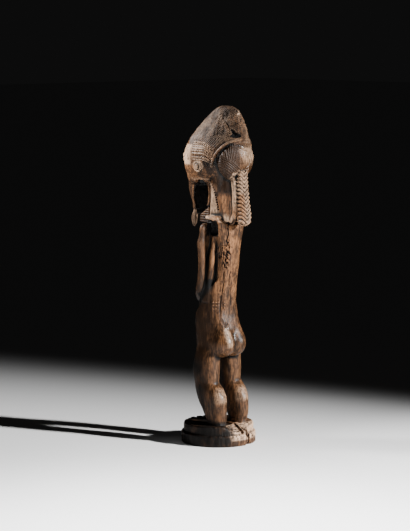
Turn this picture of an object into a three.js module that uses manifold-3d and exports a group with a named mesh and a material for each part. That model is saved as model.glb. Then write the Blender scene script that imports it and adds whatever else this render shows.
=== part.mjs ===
// Baule figure: a standing figure carved together with its round base from one block of wood.
// Units are millimetres and +Z is up. The figure faces -Y and its left side is +X.
// The origin is the centre of the flat underside, on which the figure stands.

import * as THREE from 'three';
import { mergeVertices } from 'three/addons/utils/BufferGeometryUtils.js';
import Module from 'manifold-3d';

const wasm = await Module();
wasm.setup();

// Heights of the landmarks above the underside.
const FIGURE_HEIGHT = 450;
const HAIRLINE_Z = 398;
const BUN_Z = 382;
const EAR_Z = 370;
const EYE_Z = 378;
const MOUTH_Z = 358;
const SHOULDER_Z = 302;
const LEDGE_Z = 200.5;
const ELBOW_Z = 208;
const HAND_Z = 190;
const BUTTOCK_Z = 134.5;
const FEET_TOP = 27;
const DISC_TOP = 15;

// The round base and the two blocky feet on it.
const DISC_RADIUS = 50;
const FEET_RADIUS = 46.5;
const FOOT_GAP = 5;
const WORN_HEEL_Y = 32;
const WORN_HEEL_TILT = -0.62;
const SPLIT = { x: -9.6, y: 47, width: 4, depth: 9 };

// Distances from the middle plane.
const LEG_X = 20;
const BUTTOCK_X = 10.5;
const EAR_X = 32.5;
const HEAD_ROUNDNESS = 2.15;
const EYE_X = 12.5;
const RINGED_BLOCK_HALF = 6.2;
const THROAT_WEB_HALF = 2;
const NAPE_WEB_HALF = 7;
const ARM_WEB_HALF = 2;

// Tilts about the X axis, in radians.
const LEDGE_TILT = 0.915;
const SHOULDER_TILT = -0.52;
const ARM_WEB_TILT = -0.12;
const RINGED_BLOCK_TILT = 0.57;

// Carved lines.
const HAIR_LINES = 17;
const HAIR_DEPTH = 1;
const BUN_LINES = 16;
const CHEVRONS = 14;
const BRAID_TOP = 366;
const BRAID_END = 294;

// Facets: sides round a form and steps along it.
const HEAD_STEPS = 12;
const TRUNK_SIDES = 16;
const TRUNK_STEPS = 8;
const LEG_SIDES = 12;
const LEG_STEPS = 9;
const DISC_SIDES = 33;

// Sections of the head: height, x, y, half width, half depth.
const HEAD_SECTIONS = [
  [344, 0, -38, 9, 12],
  [350, 0, -26, 18, 25],
  [358, 0, -15, 26, 35],
  [368, 0, -12, 31.5, 39.5],
  [378, 0, -9.5, 34, 41.5],
  [390, 0, -6.5, 34.5, 43.5],
  [400, 0, -1.5, 32.5, 44.5],
  [407, 0, 2.5, 30, 44.5],
  [414, 0, 5, 26, 41.8],
  [422, 0, 7.8, 21.5, 37.8],
  [430, 0, 10.5, 17, 33],
  [438, 0, 13.2, 12, 26.3],
  [445, 0, 15.5, 8, 19],
  [449, 0, 16, 4.5, 11.5],
  [FIGURE_HEIGHT, 0, 16, 3, 8],
];

const WOOD = new THREE.MeshStandardMaterial({ color: 0x5b3d28, roughness: 0.5, metalness: 0 });

// Both sides of the body, left first.
const SIDES = [1, -1];

// Solid bodies and the two operations on them.
function solid(geometry) {
  const bare = geometry.clone();
  bare.deleteAttribute('normal');
  bare.deleteAttribute('uv');
  const merged = mergeVertices(bare, 1e-4);
  return new wasm.Manifold(new wasm.Mesh({
    numProp: 3,
    vertProperties: new Float32Array(merged.attributes.position.array),
    triVerts: new Uint32Array(merged.index.array),
  }));
}

function join(first, ...others) {
  return others.reduce((whole, piece) => whole.add(piece), first);
}

function cut(whole, ...tools) {
  return tools.reduce((rest, tool) => rest.subtract(tool), whole);
}

// A smooth value between the rows of a table of sections, each row sorted by its first number.
function between(rows, key, column) {
  const last = rows.length - 1;
  let i = 0;
  while (i < last - 1 && key > rows[i + 1][0]) i += 1;
  const span = rows[i + 1][0] - rows[i][0];
  const t = THREE.MathUtils.clamp((key - rows[i][0]) / span, 0, 1);
  const slope = (k) => {
    const low = rows[Math.max(k - 1, 0)];
    const high = rows[Math.min(k + 1, last)];
    return ((high[column] - low[column]) / (high[0] - low[0])) * span;
  };
  const a = rows[i][column];
  const b = rows[i + 1][column];
  const t2 = t * t;
  const t3 = t2 * t;
  return (2 * t3 - 3 * t2 + 1) * a + (t3 - 2 * t2 + t) * slope(i)
    + (3 * t2 - 2 * t3) * b + (t3 - t2) * slope(i + 1);
}

// An upright form from sections [z, x, y, half width, half depth]. A relief function may
// push each point outwards, and roundness above 2 makes the sections squarer.
function column(rows, { sides, steps, roundness = 2, relief = () => 0 }) {
  const form = new THREE.CylinderGeometry(1, 1, 1, sides, steps);
  form.rotateX(Math.PI / 2);
  const bottom = rows[0][0];
  const height = rows[rows.length - 1][0] - bottom;
  const place = form.attributes.position;
  for (let i = 0; i < place.count; i += 1) {
    const z = bottom + (place.getZ(i) + 0.5) * height;
    const reach = Math.hypot(place.getX(i), place.getY(i));
    const angle = Math.atan2(place.getY(i), place.getX(i));
    const c = Math.cos(angle);
    const s = Math.sin(angle);
    const round = (Math.abs(c) ** roundness + Math.abs(s) ** roundness) ** (-1 / roundness);
    const [, x, y, width, depth] = [0, 1, 2, 3, 4].map((k) => (k ? between(rows, z, k) : z));
    const out = reach < 0.5 ? 0 : relief(angle, z, y + s * round * depth);
    place.setXYZ(
      i,
      x + reach * c * (round * width + out),
      y + reach * s * (round * depth + out),
      z,
    );
  }
  return solid(form);
}

// A round form along a curve through points [x, y, z, half width, half depth]. The half
// width lies along the level direction across the curve.
function limb(points, { sides, steps, across = [1, 0, 0] }) {
  const curve = new THREE.CatmullRomCurve3(points.map((p) => new THREE.Vector3(p[0], p[1], p[2])));
  const form = new THREE.CylinderGeometry(1, 1, 1, sides, steps);
  const place = form.attributes.position;
  const last = points.length - 1;
  const rows = points.map((p, k) => [k / last, p[3], p[4] ?? p[3]]);
  const point = new THREE.Vector3();
  const ahead = new THREE.Vector3();
  for (let i = 0; i < place.count; i += 1) {
    const t = place.getY(i) + 0.5;
    const reach = Math.hypot(place.getX(i), place.getZ(i));
    const angle = Math.atan2(place.getX(i), place.getZ(i));
    curve.getPoint(t, point);
    curve.getTangent(t, ahead);
    const wide = new THREE.Vector3(...across).cross(ahead).cross(ahead).negate().normalize();
    const deep = new THREE.Vector3().crossVectors(ahead, wide);
    point.addScaledVector(wide, reach * Math.cos(angle) * between(rows, t, 1));
    point.addScaledVector(deep, reach * Math.sin(angle) * between(rows, t, 2));
    place.setXYZ(i, point.x, point.y, point.z);
  }
  return solid(form);
}

// A round form with three half sizes, its poles up and down.
function ball([x, y, z], [width, depth, height], around = 14, up = 9, relief = () => 0) {
  const form = new THREE.SphereGeometry(1, around, up);
  form.rotateX(Math.PI / 2);
  const place = form.attributes.position;
  for (let i = 0; i < place.count; i += 1) {
    const [px, py, pz] = [place.getX(i), place.getY(i), place.getZ(i)];
    const reach = Math.hypot(px, py);
    const grow = 1 + (reach < 0.2 ? 0 : relief(Math.atan2(py, px), pz) / width);
    place.setXYZ(i, x + px * width * grow, y + py * depth * grow, z + pz * height);
  }
  return solid(form);
}

// A block tilted about the X axis and then turned about the Z axis.
function block([x, y, z], [width, depth, height], tilt = 0, turn = 0) {
  const form = new THREE.BoxGeometry(width, depth, height);
  form.rotateX(tilt);
  form.rotateZ(turn);
  form.translate(x, y, z);
  return solid(form);
}

// A large block that rests on a tilted plane through a point, and pares away what is over it.
function above([x, y, z], tilt) {
  const height = 60;
  const middle = [x, y - Math.sin(tilt) * height / 2, z + Math.cos(tilt) * height / 2];
  return block(middle, [100, 120, height], tilt);
}

// Every second line round a form stands proud, like combed hair.
function combed(angle, lines, depth) {
  return Math.cos(angle * lines) * depth * 0.5;
}

// Base: a round disc with two blocky feet, worn away behind the heels and split at the back.
function base() {
  const disc = column([
    [0, 0, 0, DISC_RADIUS - 1, DISC_RADIUS - 1],
    [2, 0, 0, DISC_RADIUS, DISC_RADIUS],
    [DISC_TOP - 2, 0, 0, DISC_RADIUS, DISC_RADIUS],
    [DISC_TOP, 0, 0, DISC_RADIUS - 1, DISC_RADIUS - 1],
  ], { sides: DISC_SIDES, steps: 3 });
  const feet = SIDES.map((side) => foot(side));
  const worn = block([0, WORN_HEEL_Y + 20, FEET_TOP - 3], [110, 44, 14], WORN_HEEL_TILT);
  const splitTurn = Math.atan2(SPLIT.x, SPLIT.y) * -1;
  const split = block([SPLIT.x, SPLIT.y, DISC_TOP / 2], [SPLIT.width, SPLIT.depth, 40], 0, splitTurn);
  return cut(join(disc, cut(join(...feet), worn)), split);
}

// One foot: a half round slab, flat on top, with toes cut into its front edge.
function foot(side) {
  const half = FOOT_GAP / 2;
  const start = Math.asin(half / FEET_RADIUS);
  const outline = new THREE.Shape();
  const rim = 15;
  for (let i = 0; i <= rim; i += 1) {
    const angle = start + (Math.PI - 2 * start) * (i / rim);
    const x = Math.sin(angle) * FEET_RADIUS * side;
    const y = -Math.cos(angle) * FEET_RADIUS;
    if (i === 0) outline.moveTo(x, y);
    else outline.lineTo(x, y);
  }
  const slab = new THREE.ExtrudeGeometry(outline, { depth: FEET_TOP - DISC_TOP + 2, bevelEnabled: false });
  slab.translate(0, 0, DISC_TOP - 2);
  const toes = [11, 18.5, 26, 33].map((x) => {
    const y = -Math.sqrt(FEET_RADIUS ** 2 - x ** 2);
    return block([x * side, y, FEET_TOP - 2], [1.6, 15, 8], 0, Math.atan2(x, -y) * side * 0.5);
  });
  return cut(solid(slab), ...toes);
}

// Leg: bent at the knee, with a full calf and a narrow ankle.
function leg(side) {
  return column([
    [FEET_TOP - 5, LEG_X * side, 17, 11.5, 15],
    [FEET_TOP + 4, LEG_X * side, 17, 10.5, 14],
    [39, LEG_X * side, 15.5, 11, 17],
    [52, LEG_X * side, 11.5, 12.5, 21],
    [63, LEG_X * side, 8, 13.5, 23],
    [73, LEG_X * side, 4, 13.5, 22],
    [82, LEG_X * side, -1, 13, 18.5],
    [90, LEG_X * side, -2.5, 13.5, 19.5],
    [102, LEG_X * side, -2.4, 14, 20],
    [116, 19 * side, -1.5, 13.5, 19],
    [132, 16 * side, -1, 12.5, 18.5],
  ], { sides: LEG_SIDES, steps: LEG_STEPS, roundness: 2.3 });
}

// Hips and belly: a full block whose upper edge slopes down to the front, under the forearms.
function hips() {
  const form = column([
    [119, 0, -0.5, 22, 18.5],
    [125, 0, -1, 26.5, 21.5],
    [140, 0, -2.5, 28.2, 23.2],
    [155, 0, -4, 27.6, 24.7],
    [172, 0, -5, 26.8, 25],
    [190, 0, -4, 24.7, 24.2],
    [206, 0, -1, 23.7, 22.9],
    [222, 0, 1, 22.8, 20.7],
  ], { sides: TRUNK_SIDES, steps: 7, roundness: 2.7 });
  return cut(form, above([0, 0, LEDGE_Z], LEDGE_TILT));
}

function belly() {
  return join(
    ball([0, -7, 184], [21, 21, 27], 10, 6),
    ball([0, -28, 178], [4, 3.5, 4], 6, 5),
  );
}

// Buttock: round below, and running up into the small of the back.
function buttock(side) {
  return join(
    ball([BUTTOCK_X * side, 15, BUTTOCK_Z], [15.5, 22.5, 17], 14, 8),
    limb([
      [9 * side, 8, 180, 10],
      [10 * side, 11, 165, 10.5],
      [BUTTOCK_X * side, 14.5, 150, 12.5],
      [BUTTOCK_X * side, 18, BUTTOCK_Z, 13],
    ], { sides: 8, steps: 3 }),
  );
}

// Trunk: a long slab of a back, sloping off at the shoulders, on a front that is wider and
// flatter, so that a trough runs down each flank.
function trunk() {
  const back = column([
    [150, 0, 0, 22, 22],
    [175, 0, 2, 20, 21],
    [190, 0, 3, 18.5, 20.5],
    [217, 0, 6.5, 17.5, 19.5],
    [240, 0, 10, 17.5, 20],
    [265, 0, 12.5, 18.5, 20],
    [286, 0, 15, 21.5, 19.5],
    [298, 0, 15, 22.5, 18.5],
    [306, 0, 14, 21, 16],
  ], { sides: TRUNK_SIDES, steps: TRUNK_STEPS, roundness: 2.5 });
  const front = column([
    [190, 0, -2, 25.5, 12],
    [217, 0, -1, 25.5, 11.5],
    [240, 0, 0.5, 24.5, 11],
    [264, 0, 2.5, 19.5, 10.5],
    [280, 0, 3, 17, 10],
    [300, 0, 4, 17, 10],
  ], { sides: 14, steps: 5, roundness: 3.2 });
  return join(cut(back, above([0, 15, SHOULDER_Z + 2.5], SHOULDER_TILT)), front);
}

// Arm: out from the trunk in front of the shoulder's hollow, down to the elbow, and forward to
// the hand on the belly. A thin web of wood is left between the arm and the trunk.
function arm(side) {
  const rod = limb([
    [14 * side, -3, 292, 4.5],
    [24 * side, -1, 291, 4.6],
    [29.4 * side, 0.5, 289.5, 5],
    [30.8 * side, 0, 278, 4.8],
    [30.6 * side, -0.6, 262, 5],
    [29 * side, -1.5, 238, 4.9],
    [28 * side, -4, 220, 5.2],
    [26 * side, -8, ELBOW_Z, 5.8],
    [18.5 * side, -17, 199, 5.6],
    [10.5 * side, -23.5, HAND_Z + 3, 5.2],
    [4 * side, -27, HAND_Z, 3.8],
  ], { sides: 8, steps: 14, across: [0, 0.6, 0.8] });
  const web = block([24 * side, -2.4, 252], [14, 2 * ARM_WEB_HALF, 96], ARM_WEB_TILT);
  return join(rod, web);
}

// Shoulder: a thin shelf over the hollow beside the trunk.
function shoulder(side) {
  return join(
    block([17 * side, 14, SHOULDER_Z + 1.5], [22, 15, 5], 0, -0.6 * side),
    block([12 * side, 12, SHOULDER_Z + 0.8], [23, 18, 5.6]),
  );
}

// Fingers: shallow cuts across the end of the hand.
function fingerCuts(side) {
  return [-2.5, 1, 4.5].map((up) => block(
    [6 * side, -32, HAND_Z + up],
    [10, 7, 0.8],
    0,
    0.5 * side,
  ));
}

// Armpit: the deep square hollow that parts the arm from the trunk below the shoulder.
function armpit(side) {
  return block([25 * side, 11, 290], [20, 20, 20]);
}

// Neck: a round column with a row of scar beads down each side.
function neck() {
  return column([
    [290, 0, 9.5, 17, 18],
    [303, 0, 9.5, 17.5, 18.5],
    [320, 0, 9, 16.5, 17],
    [342, 0, 9.5, 16.5, 17.5],
    [366, 0, 8, 20, 20],
  ], { sides: 14, steps: 6 });
}

function neckBeads(side) {
  const beads = 7;
  return Array.from({ length: beads }, (_, i) => {
    const t = i / (beads - 1);
    const angle = -0.2 + 0.6 * Math.sqrt(t);
    const form = new THREE.OctahedronGeometry(1.9);
    form.translate(side * Math.cos(angle) * 16.6, 9.3 + Math.sin(angle) * 17.2, 350 - 46 * t);
    return solid(form);
  });
}

// Nape: a smooth lock of hair on each side of the braid.
function napeLock(side) {
  return limb([
    [9 * side, 30, 360, 4.2],
    [9 * side, 36.5, 348, 4.2],
    [9 * side, 39.5, 330, 3.7],
    [9 * side, 39.5, 309, 3.7],
    [9 * side, 34, 297, 3.8],
  ], { sides: 6, steps: 4 });
}

// Braid: hangs from the bun to the shoulders, plaited in chevrons that point down, and is
// joined to the nape by a narrow web.
function braid() {
  const pitch = (BRAID_TOP - BRAID_END) / CHEVRONS;
  const chevron = (angle, z) => {
    const lean = Math.abs(Math.cos(angle)) * 1.1;
    return Math.cos(((BRAID_TOP - z) / pitch + lean) * 2 * Math.PI) * 0.8;
  };
  const plait = column([
    [BRAID_END, 0, 47.5, 5, 4.5],
    [299, 0, 48, 8, 6.5],
    [312, 0, 47.5, 8.6, 6.8],
    [330, 0, 45, 8.4, 6.3],
    [350, 0, 43.5, 8.2, 5.5],
    [BRAID_TOP, 0, 44.5, 6.5, 5],
  ], { sides: 8, steps: CHEVRONS * 3, roundness: 2.4, relief: chevron });
  return join(plait, block([0, 38, 334], [2 * NAPE_WEB_HALF, 16, 62]));
}

// Beard: a slim rod from the chin that ends in a tuft. A thin web joins it to the throat, and
// a ringed block stands under the web.
function beard() {
  const rod = limb([
    [0, -42, 358, 12, 9],
    [0, -49, 348, 7, 5.5],
    [0, -51, 339, 4.6, 3.6],
    [0, -49.5, 330, 4, 3.4],
    [0, -45.5, 318, 3, 2.6],
    [0, -44, 309, 3, 2.6],
    [0, -46, 300, 4.4, 4],
    [0, -46.5, 292, 3.4, 3.2],
    [0, -46.5, 287, 1.4, 1.4],
  ], { sides: 7, steps: 10 });
  const web = block([0, -25.5, 329], [2 * THROAT_WEB_HALF, 39, 50]);
  const rings = cut(
    block([0, -21.5, 306], [2 * RINGED_BLOCK_HALF, 18, 24]),
    above([0, -12.5, 315], RINGED_BLOCK_TILT),
  );
  const grooves = [];
  for (const side of SIDES) {
    for (const z of [297, 301, 305, 309]) {
      grooves.push(block([RINGED_BLOCK_HALF * side, -22, z], [2.4, 22, 1.6]));
    }
  }
  return join(rod, web, cut(rings, ...grooves));
}

// Head: deep from front to back, under a crest that narrows to a ridge.
function head() {
  const hair = (angle, z, y) => (z > hairEdge(y) ? combed(angle, HAIR_LINES, HAIR_DEPTH) : 0);
  return column(HEAD_SECTIONS, {
    sides: 2 * HAIR_LINES,
    steps: HEAD_STEPS,
    roundness: HEAD_ROUNDNESS,
    relief: hair,
  });
}

// The lower edge of the hair: high over the forehead, down to the ear, and down to the nape.
function hairEdge(y) {
  return y < -10 ? HAIRLINE_Z : HAIRLINE_Z - Math.min((y + 10) * 1.6, 40);
}

// Temple bands: raised bead rows over the temple, above and behind the ear.
function templeBands(side) {
  return [383, 389.5, 396].map((z) => {
    const along = [-0.18, 0.02, 0.22, 0.42, 0.58].map((turn) => {
      const [, width, y, depth] = [0, 3, 2, 4].map((k) => between(HEAD_SECTIONS, z, k));
      return [side * Math.cos(turn) * width, y + Math.sin(turn) * depth, z, 1.5];
    });
    return limb(along, { sides: 4, steps: 3, across: [0, 0, 1] });
  });
}

// Crest end: the knob at the back of the ridge, and the hollow worn in below it.
function crestKnob() {
  return ball([0, 32, 440], [4, 5, 5], 8, 6);
}

function crestHollow() {
  return ball([11, 46, 410], [6, 7, 4], 8, 6);
}

// Bun: a large combed dome on the back of the head, with a raised rim arched over it.
function bun() {
  const dome = ball([0, 31.7, BUN_Z], [28.8, 17.3, 30.2], 2 * BUN_LINES, 8,
    (angle) => combed(angle, BUN_LINES, HAIR_DEPTH));
  const rim = limb(rimPath(), { sides: 5, steps: 11, across: [0, 1, 0] });
  return join(dome, rim);
}

// The arch of the rim, from the left side over the bun to the right.
function rimPath() {
  const left = [
    [30.4, 15.8, 376, 1.3],
    [29.6, 19.4, 384, 2],
    [27.4, 23.8, 393, 2],
    [24.2, 31, 400.5, 2],
    [18.8, 38.8, 407, 1.9],
    [10, 44.2, 409.3, 1.9],
  ];
  const right = left.map(([x, ...rest]) => [-x, ...rest]).reverse();
  return [...left, [0, 45.8, 410, 1.9], ...right];
}

// The dark groove between the bun and its rim.
function bunGroove(side) {
  return limb([
    [30 * side, 22, 360, 2.6],
    [31.5 * side, 24, 371, 3.8],
    [30.2 * side, 26, 381, 3.9],
    [27.6 * side, 29.3, 391, 3.2],
    [22.8 * side, 35, 399.5, 2.3],
    [16 * side, 40.5, 404.5, 1.2],
  ], { sides: 6, steps: 7, across: [0, 1, 0] });
}

// Ear: a small ring.
function ear(side) {
  const ring = new THREE.TorusGeometry(4.4, 2, 5, 9);
  ring.rotateY(Math.PI / 2);
  ring.scale(1.1, 1, 1.15);
  ring.translate(EAR_X * side, -5, EAR_Z);
  return solid(ring);
}

function earHollow(side) {
  return ball([(EAR_X + 1) * side, 4, EAR_Z + 1], [5, 3, 7], 8, 6);
}

// Face: calm and symmetrical, with arched brows, a long nose, closed eyes and a small mouth.
function face() {
  const nose = limb([
    [0, -49, EYE_Z + 8, 2.2, 3],
    [0, -53, EYE_Z, 2.4, 3],
    [0, -56, 369, 4.4, 4],
    [0, -53, 364.5, 4.8, 2.5],
  ], { sides: 6, steps: 6 });
  const mouth = cut(
    ball([0, -50, MOUTH_Z], [8, 6, 3.8], 10, 6),
    block([0, -56, MOUTH_Z], [20, 6, 0.9]),
  );
  const sides = SIDES.flatMap((side) => [
    limb([
      [1.5 * side, -51, EYE_Z + 5.5, 2],
      [10 * side, -49.5, EYE_Z + 8.5, 2.3],
      [20 * side, -43.5, EYE_Z + 6.5, 2.2],
      [27 * side, -36, EYE_Z + 1, 1.4],
    ], { sides: 6, steps: 6, across: [0, 0, 1] }),
    cut(
      ball([EYE_X * side, -45, EYE_Z], [8, 6, 4.6], 10, 6),
      block([EYE_X * side, -52.5, EYE_Z - 0.6], [22, 7.6, 0.9], 0, 0.35 * side),
    ),
  ]);
  return join(nose, mouth, ...sides);
}

// The whole carving is one solid.
function figure() {
  const head_ = cut(
    join(head(), crestKnob(), bun()),
    crestHollow(),
    ...SIDES.map(bunGroove),
    ...SIDES.map(earHollow),
  );
  const body = cut(trunk(), ...SIDES.map(armpit));
  const lower = join(base(), hips(), belly(), ...SIDES.map(leg), ...SIDES.map(buttock));
  const details = SIDES.flatMap((side) => [
    cut(arm(side), ...fingerCuts(side)),
    shoulder(side),
    napeLock(side),
    ear(side),
    ...neckBeads(side),
    ...templeBands(side),
  ]);
  return join(lower, body, neck(), head_, face(), beard(), braid(), ...details);
}

// The solid's vertices and triangles as a mesh of its own.
function mesh(name, body, material) {
  const { vertProperties, triVerts, numProp } = body.getMesh();
  const geometry = new THREE.BufferGeometry();
  const points = [];
  for (let i = 0; i < vertProperties.length; i += numProp) {
    points.push(vertProperties[i], vertProperties[i + 1], vertProperties[i + 2]);
  }
  geometry.setAttribute('position', new THREE.Float32BufferAttribute(points, 3));
  geometry.setIndex(Array.from(triVerts));
  const object = new THREE.Mesh(geometry, material);
  object.name = name;
  return object;
}

const group = new THREE.Group();
group.add(mesh('figure', figure(), WOOD));

export default group;
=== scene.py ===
"""The finished look of a Baule figure, carved with its round base from one block of wood.

The figure is worked out as a solid on a grid: round and squared forms are joined and pared
away with soft edges, the surface is taken off the grid as a mesh, and the carved lines, the
tool marks, the cracks and the worn places are pressed into it. The carving is reckoned in
millimetres and its mesh is made in metres. +Z is up and the figure faces -Y.
"""

import math

import bpy
import numpy as np
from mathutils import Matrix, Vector


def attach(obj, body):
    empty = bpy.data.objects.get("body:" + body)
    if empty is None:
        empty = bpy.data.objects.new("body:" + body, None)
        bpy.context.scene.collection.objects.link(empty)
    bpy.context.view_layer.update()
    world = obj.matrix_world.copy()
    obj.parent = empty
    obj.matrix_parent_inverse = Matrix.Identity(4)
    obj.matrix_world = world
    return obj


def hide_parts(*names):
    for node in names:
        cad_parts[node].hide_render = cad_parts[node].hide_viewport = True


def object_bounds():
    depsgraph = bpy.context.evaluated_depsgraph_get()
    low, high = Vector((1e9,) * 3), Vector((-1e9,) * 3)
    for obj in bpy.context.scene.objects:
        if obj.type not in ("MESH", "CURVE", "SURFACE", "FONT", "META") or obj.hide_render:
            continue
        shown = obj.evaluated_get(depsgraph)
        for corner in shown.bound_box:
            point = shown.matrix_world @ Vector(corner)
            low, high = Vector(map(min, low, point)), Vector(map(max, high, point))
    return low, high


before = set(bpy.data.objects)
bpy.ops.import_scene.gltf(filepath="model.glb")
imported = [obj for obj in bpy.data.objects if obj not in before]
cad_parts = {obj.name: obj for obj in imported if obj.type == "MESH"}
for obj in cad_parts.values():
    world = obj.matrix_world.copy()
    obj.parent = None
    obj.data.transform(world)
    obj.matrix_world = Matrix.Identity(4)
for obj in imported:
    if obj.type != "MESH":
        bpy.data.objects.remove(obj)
CAD_LOW, CAD_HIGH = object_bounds()

bl_info = {
    "name": "Baule Figure",
    "version": (1, 0, 0),
    "blender": (4, 5, 0),
    "location": "View3D > Sidebar > Carving",
    "description": "Carves a standing wooden figure with its base and sets it in a plain studio",
    "category": "Object",
}

MM = 0.001
NODE = "figure"
BODY = "root"

# Heights of the landmarks above the underside.
HAIRLINE_Z = 398
BUN_Z = 380.5
EAR_Z = 370.5
EYE_Z = 378
MOUTH_Z = 358
SHOULDER_Z = 302
LEDGE_Z = 200.5
ELBOW_Z = 208
HAND_Z = 190
BUTTOCK_Z = 134.5
FEET_TOP = 27
DISC_TOP = 15

# The round base and the two blocky feet on it.
DISC_RADIUS = 49.6
FEET_RADIUS = 46.5
FOOT_GAP = 5
SPLIT_ANGLE = math.atan2(47, -9.6)

# Distances from the middle plane, and half widths of what lies on it.
LEG_X = 20
BUTTOCK_X = 10.5
EAR_X = 32.2
EAR_Y = -6
EYE_X = 12.5
WEB_HALF = 2
RINGED_BLOCK_HALF = 6.2

# The ledge under the forearms: its rise in each millimetre toward the back, and the length of
# its slope there.
LEDGE_SLOPE = 1.3
LEDGE_LENGTH = 1.64

# The sloping top of the ringed block under the throat: a point on it, and its fall to the front.
RINGED_TOP_Y = -12.5
RINGED_TOP_Z = 315
RINGED_TOP_SLOPE = 0.64

# The neck's axis, and how much further from it the notches lie than the ridge they are cut in.
NECK_Y = 9.2
NOTCH_REACH = 1.09

# The dark oval under the jaw and the knob on the crest: centre and half sizes.
THROAT_OVAL = ((0, -29.6, 331), (60, 14.8, 22))
CREST_KNOB = ((0, 34, 440.5), (3.4, 4.8, 4.6))

# The braid's height at its top and its end, where the bun's lines meet, and how squared it is.
BRAID_TOP = 366
BRAID_END = 294
BRAID_ROOT = (0, 50, 364)
BRAID_ROUNDNESS = 3.4

# Sections of the braid and of the head: height, x, y, half width, half depth.
BRAID_SECTIONS = [
    [BRAID_END, 0, 47.5, 5, 4.5],
    [299, 0, 48, 8, 6.5],
    [312, 0, 47.5, 8.6, 6.8],
    [330, 0, 45, 8.4, 6.3],
    [350, 0, 43.5, 8.2, 5.5],
    [BRAID_TOP, 0, 44.5, 6.5, 5],
]
HEAD_SECTIONS = [
    [344, 0, -38, 9, 12],
    [350, 0, -26, 18, 25],
    [358, 0, -15, 26, 35],
    [368, 0, -12, 31.5, 39.5],
    [378, 0, -9.5, 34, 41.5],
    [390, 0, -6.5, 34.5, 43.5],
    [400, 0, -1.5, 32.5, 44.5],
    [407, 0, 2.5, 30, 44.5],
    [414, 0, 5, 26, 41.8],
    [422, 0, 7.8, 21.5, 37.8],
    [430, 0, 10.5, 17, 33],
    [438, 0, 13.2, 12, 26.3],
    [445, 0, 15.5, 8, 19],
    [449, 0, 16, 4.5, 11.5],
    [450, 0, 16, 3, 8],
]

# Cracks down the back, as points [x, z] seen from behind, and one on the crest, as points
# [y, z] seen from its left side, with their half width last.
BACK_CRACKS = [
    [[9.5, 303, 0.2], [13.0, 291, 0.35], [13.0, 280, 0.3], [13.8, 273, 0.4], [10.5, 265, 0.2]],
    [[13.2, 236, 0.0], [12.2, 214, 0.15], [13.9, 196, 0.1], [15.0, 180, -0.1], [18.5, 162, -0.25]],
    [[1.2, 210, 0.1], [-0.2, 198, 0.3], [-0.6, 186, 0.1]],
    [[11.5, 262, 0.2], [12.2, 250, 0.4], [13.2, 238, 0.3]],
    [[4.5, 232, 0.1], [5.5, 221, 0.2], [4.8, 213, 0.1]],
]
CREST_CRACK = [[28.8, 430, -0.2], [31, 427.5, 0.2], [33.5, 426, 0.3], [36, 421.5, 0.1]]

# The groove worn down the middle of the heels, as points [x, y, z, radius].
HEEL_GROOVE = [[-3.5, 22, 28, 1.2], [-4.8, 34, 23, 1.8], [-6, 44, 16, 2.6], [-6.5, 52, 11, 3.0]]

# The hole worn into the crest, as two smooth curves through points [x, y, z, radius].
CREST_HOLE = (
    [[15.5, 38, 410.5, 1.6], [11, 42.5, 411.8, 3.0], [6, 46, 411.8, 2.0]],
    [[10.5, 43, 412, 2.6], [12.5, 40.5, 416.5, 1.9], [13.6, 38.5, 419.5, 0.9]],
)

# The groove between the bun and its rim on the left, as points [x, y, z, radius].
BUN_GROOVE = (
    (30, 22, 357, 2.6),
    (31.6, 24.2, 368, 3.9),
    (30.6, 26, 378, 4.2),
    (27.8, 29.8, 387.5, 3.4),
    (23.2, 35.4, 395.6, 2.3),
    (16, 41.2, 401, 1.3),
    (8, 45, 403, 0.7),
)

# Raised scars below the small of the back: x, y, z.
SCARS = [
    (21.2, 11.6, 190.5), (19.0, 14.2, 190.8), (16.6, 16.4, 190.6),
    (21.3, 11.8, 186.3), (18.9, 14.4, 186.2), (16.6, 16.5, 186.6),
    (21.3, 11.9, 182.0), (19.0, 14.3, 182.2), (16.5, 16.4, 181.8),
    (10.2, 21.4, 190.8), (10.0, 21.3, 187.0), (10.1, 21.2, 183.0),
]

# What is kept at each point of the mesh for the finish, painted shade and highlights too.
WEAR_AND_SHADING = ("hollow", "proud", "deep", "dry", "bare", "crack", "polish", "patina", "worn")

# Polished by handling: the buttocks, the calves and the forehead, as balls on the left side,
# and how strongly they shine on the left and on the right.
POLISHED = (
    ((10, 22, 138), (14, 16, 20)),
    ((20, 24, 64), (12, 14, 18)),
    ((14, -40, 392), (20, 16, 12)),
)
POLISH_SHARES = (0.75, 0.35)

# How far round a point the wood is averaged to find its grooves and its wide creases.
GROOVE_REACH = 1.6
CREASE_REACH = 6.5

# Painted shade makes the hollows black from BLACK_DEPTH on. Only the throat goes past it, up to 1,
# and shines there; every other hollow stays matt and counts as no deeper than MATT_DEPTH.
MATT_DEPTH = 0.72
BLACK_DEPTH = 0.75

# Rows over the temple: height, and 1 for a row of beads or 0 for a line.
TEMPLE_ROWS = (
    (402.5, 0), (399.8, 1), (397.0, 0), (394.3, 0), (391.0, 1), (387.6, 0), (382.6, 0), (379.4, 0),
)

# Turn of the row of notches down the side of the neck: height, angle from straight sideways.
NECK_ROW = np.array([
    [312, 0.42], [318, 0.34], [333, 0.13], [340, -0.05], [350, -0.45], [357, -0.72], [360, -0.85],
])

# Spacing of the combed lines, the beads, the plaits and the notches, and the disc's knife cuts.
CREST_COMB = 2.3
BUN_COMB = 2.2
BEAD_STEP = 3.2
PLAIT_STEP = 5.2
PLAIT_WIDTH = 6.2
NOTCH_STEP = 3.1
DISC_CUTS = 31

# The left side and the right.
SIDES = (1, -1)

# The grid keeps distances up to FAR, and reckons each form as far as REACH outside it.
FAR = 12.0
REACH = 4.0

# The noise repeats after this many lumps.
NOISE_LATTICE = 32

# The picture's long side and the shift of its middle, in pixels.
PICTURE_HEIGHT = 531
PICTURE_SHIFT = -13.5


# Small functions for smooth values and noise.
def smooth_step(value, start, end):
    """0 before start, 1 after end, and a smooth rise between."""
    t = np.clip((value - start) / (end - start), 0, 1)
    return t * t * (3 - 2 * t)


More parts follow.
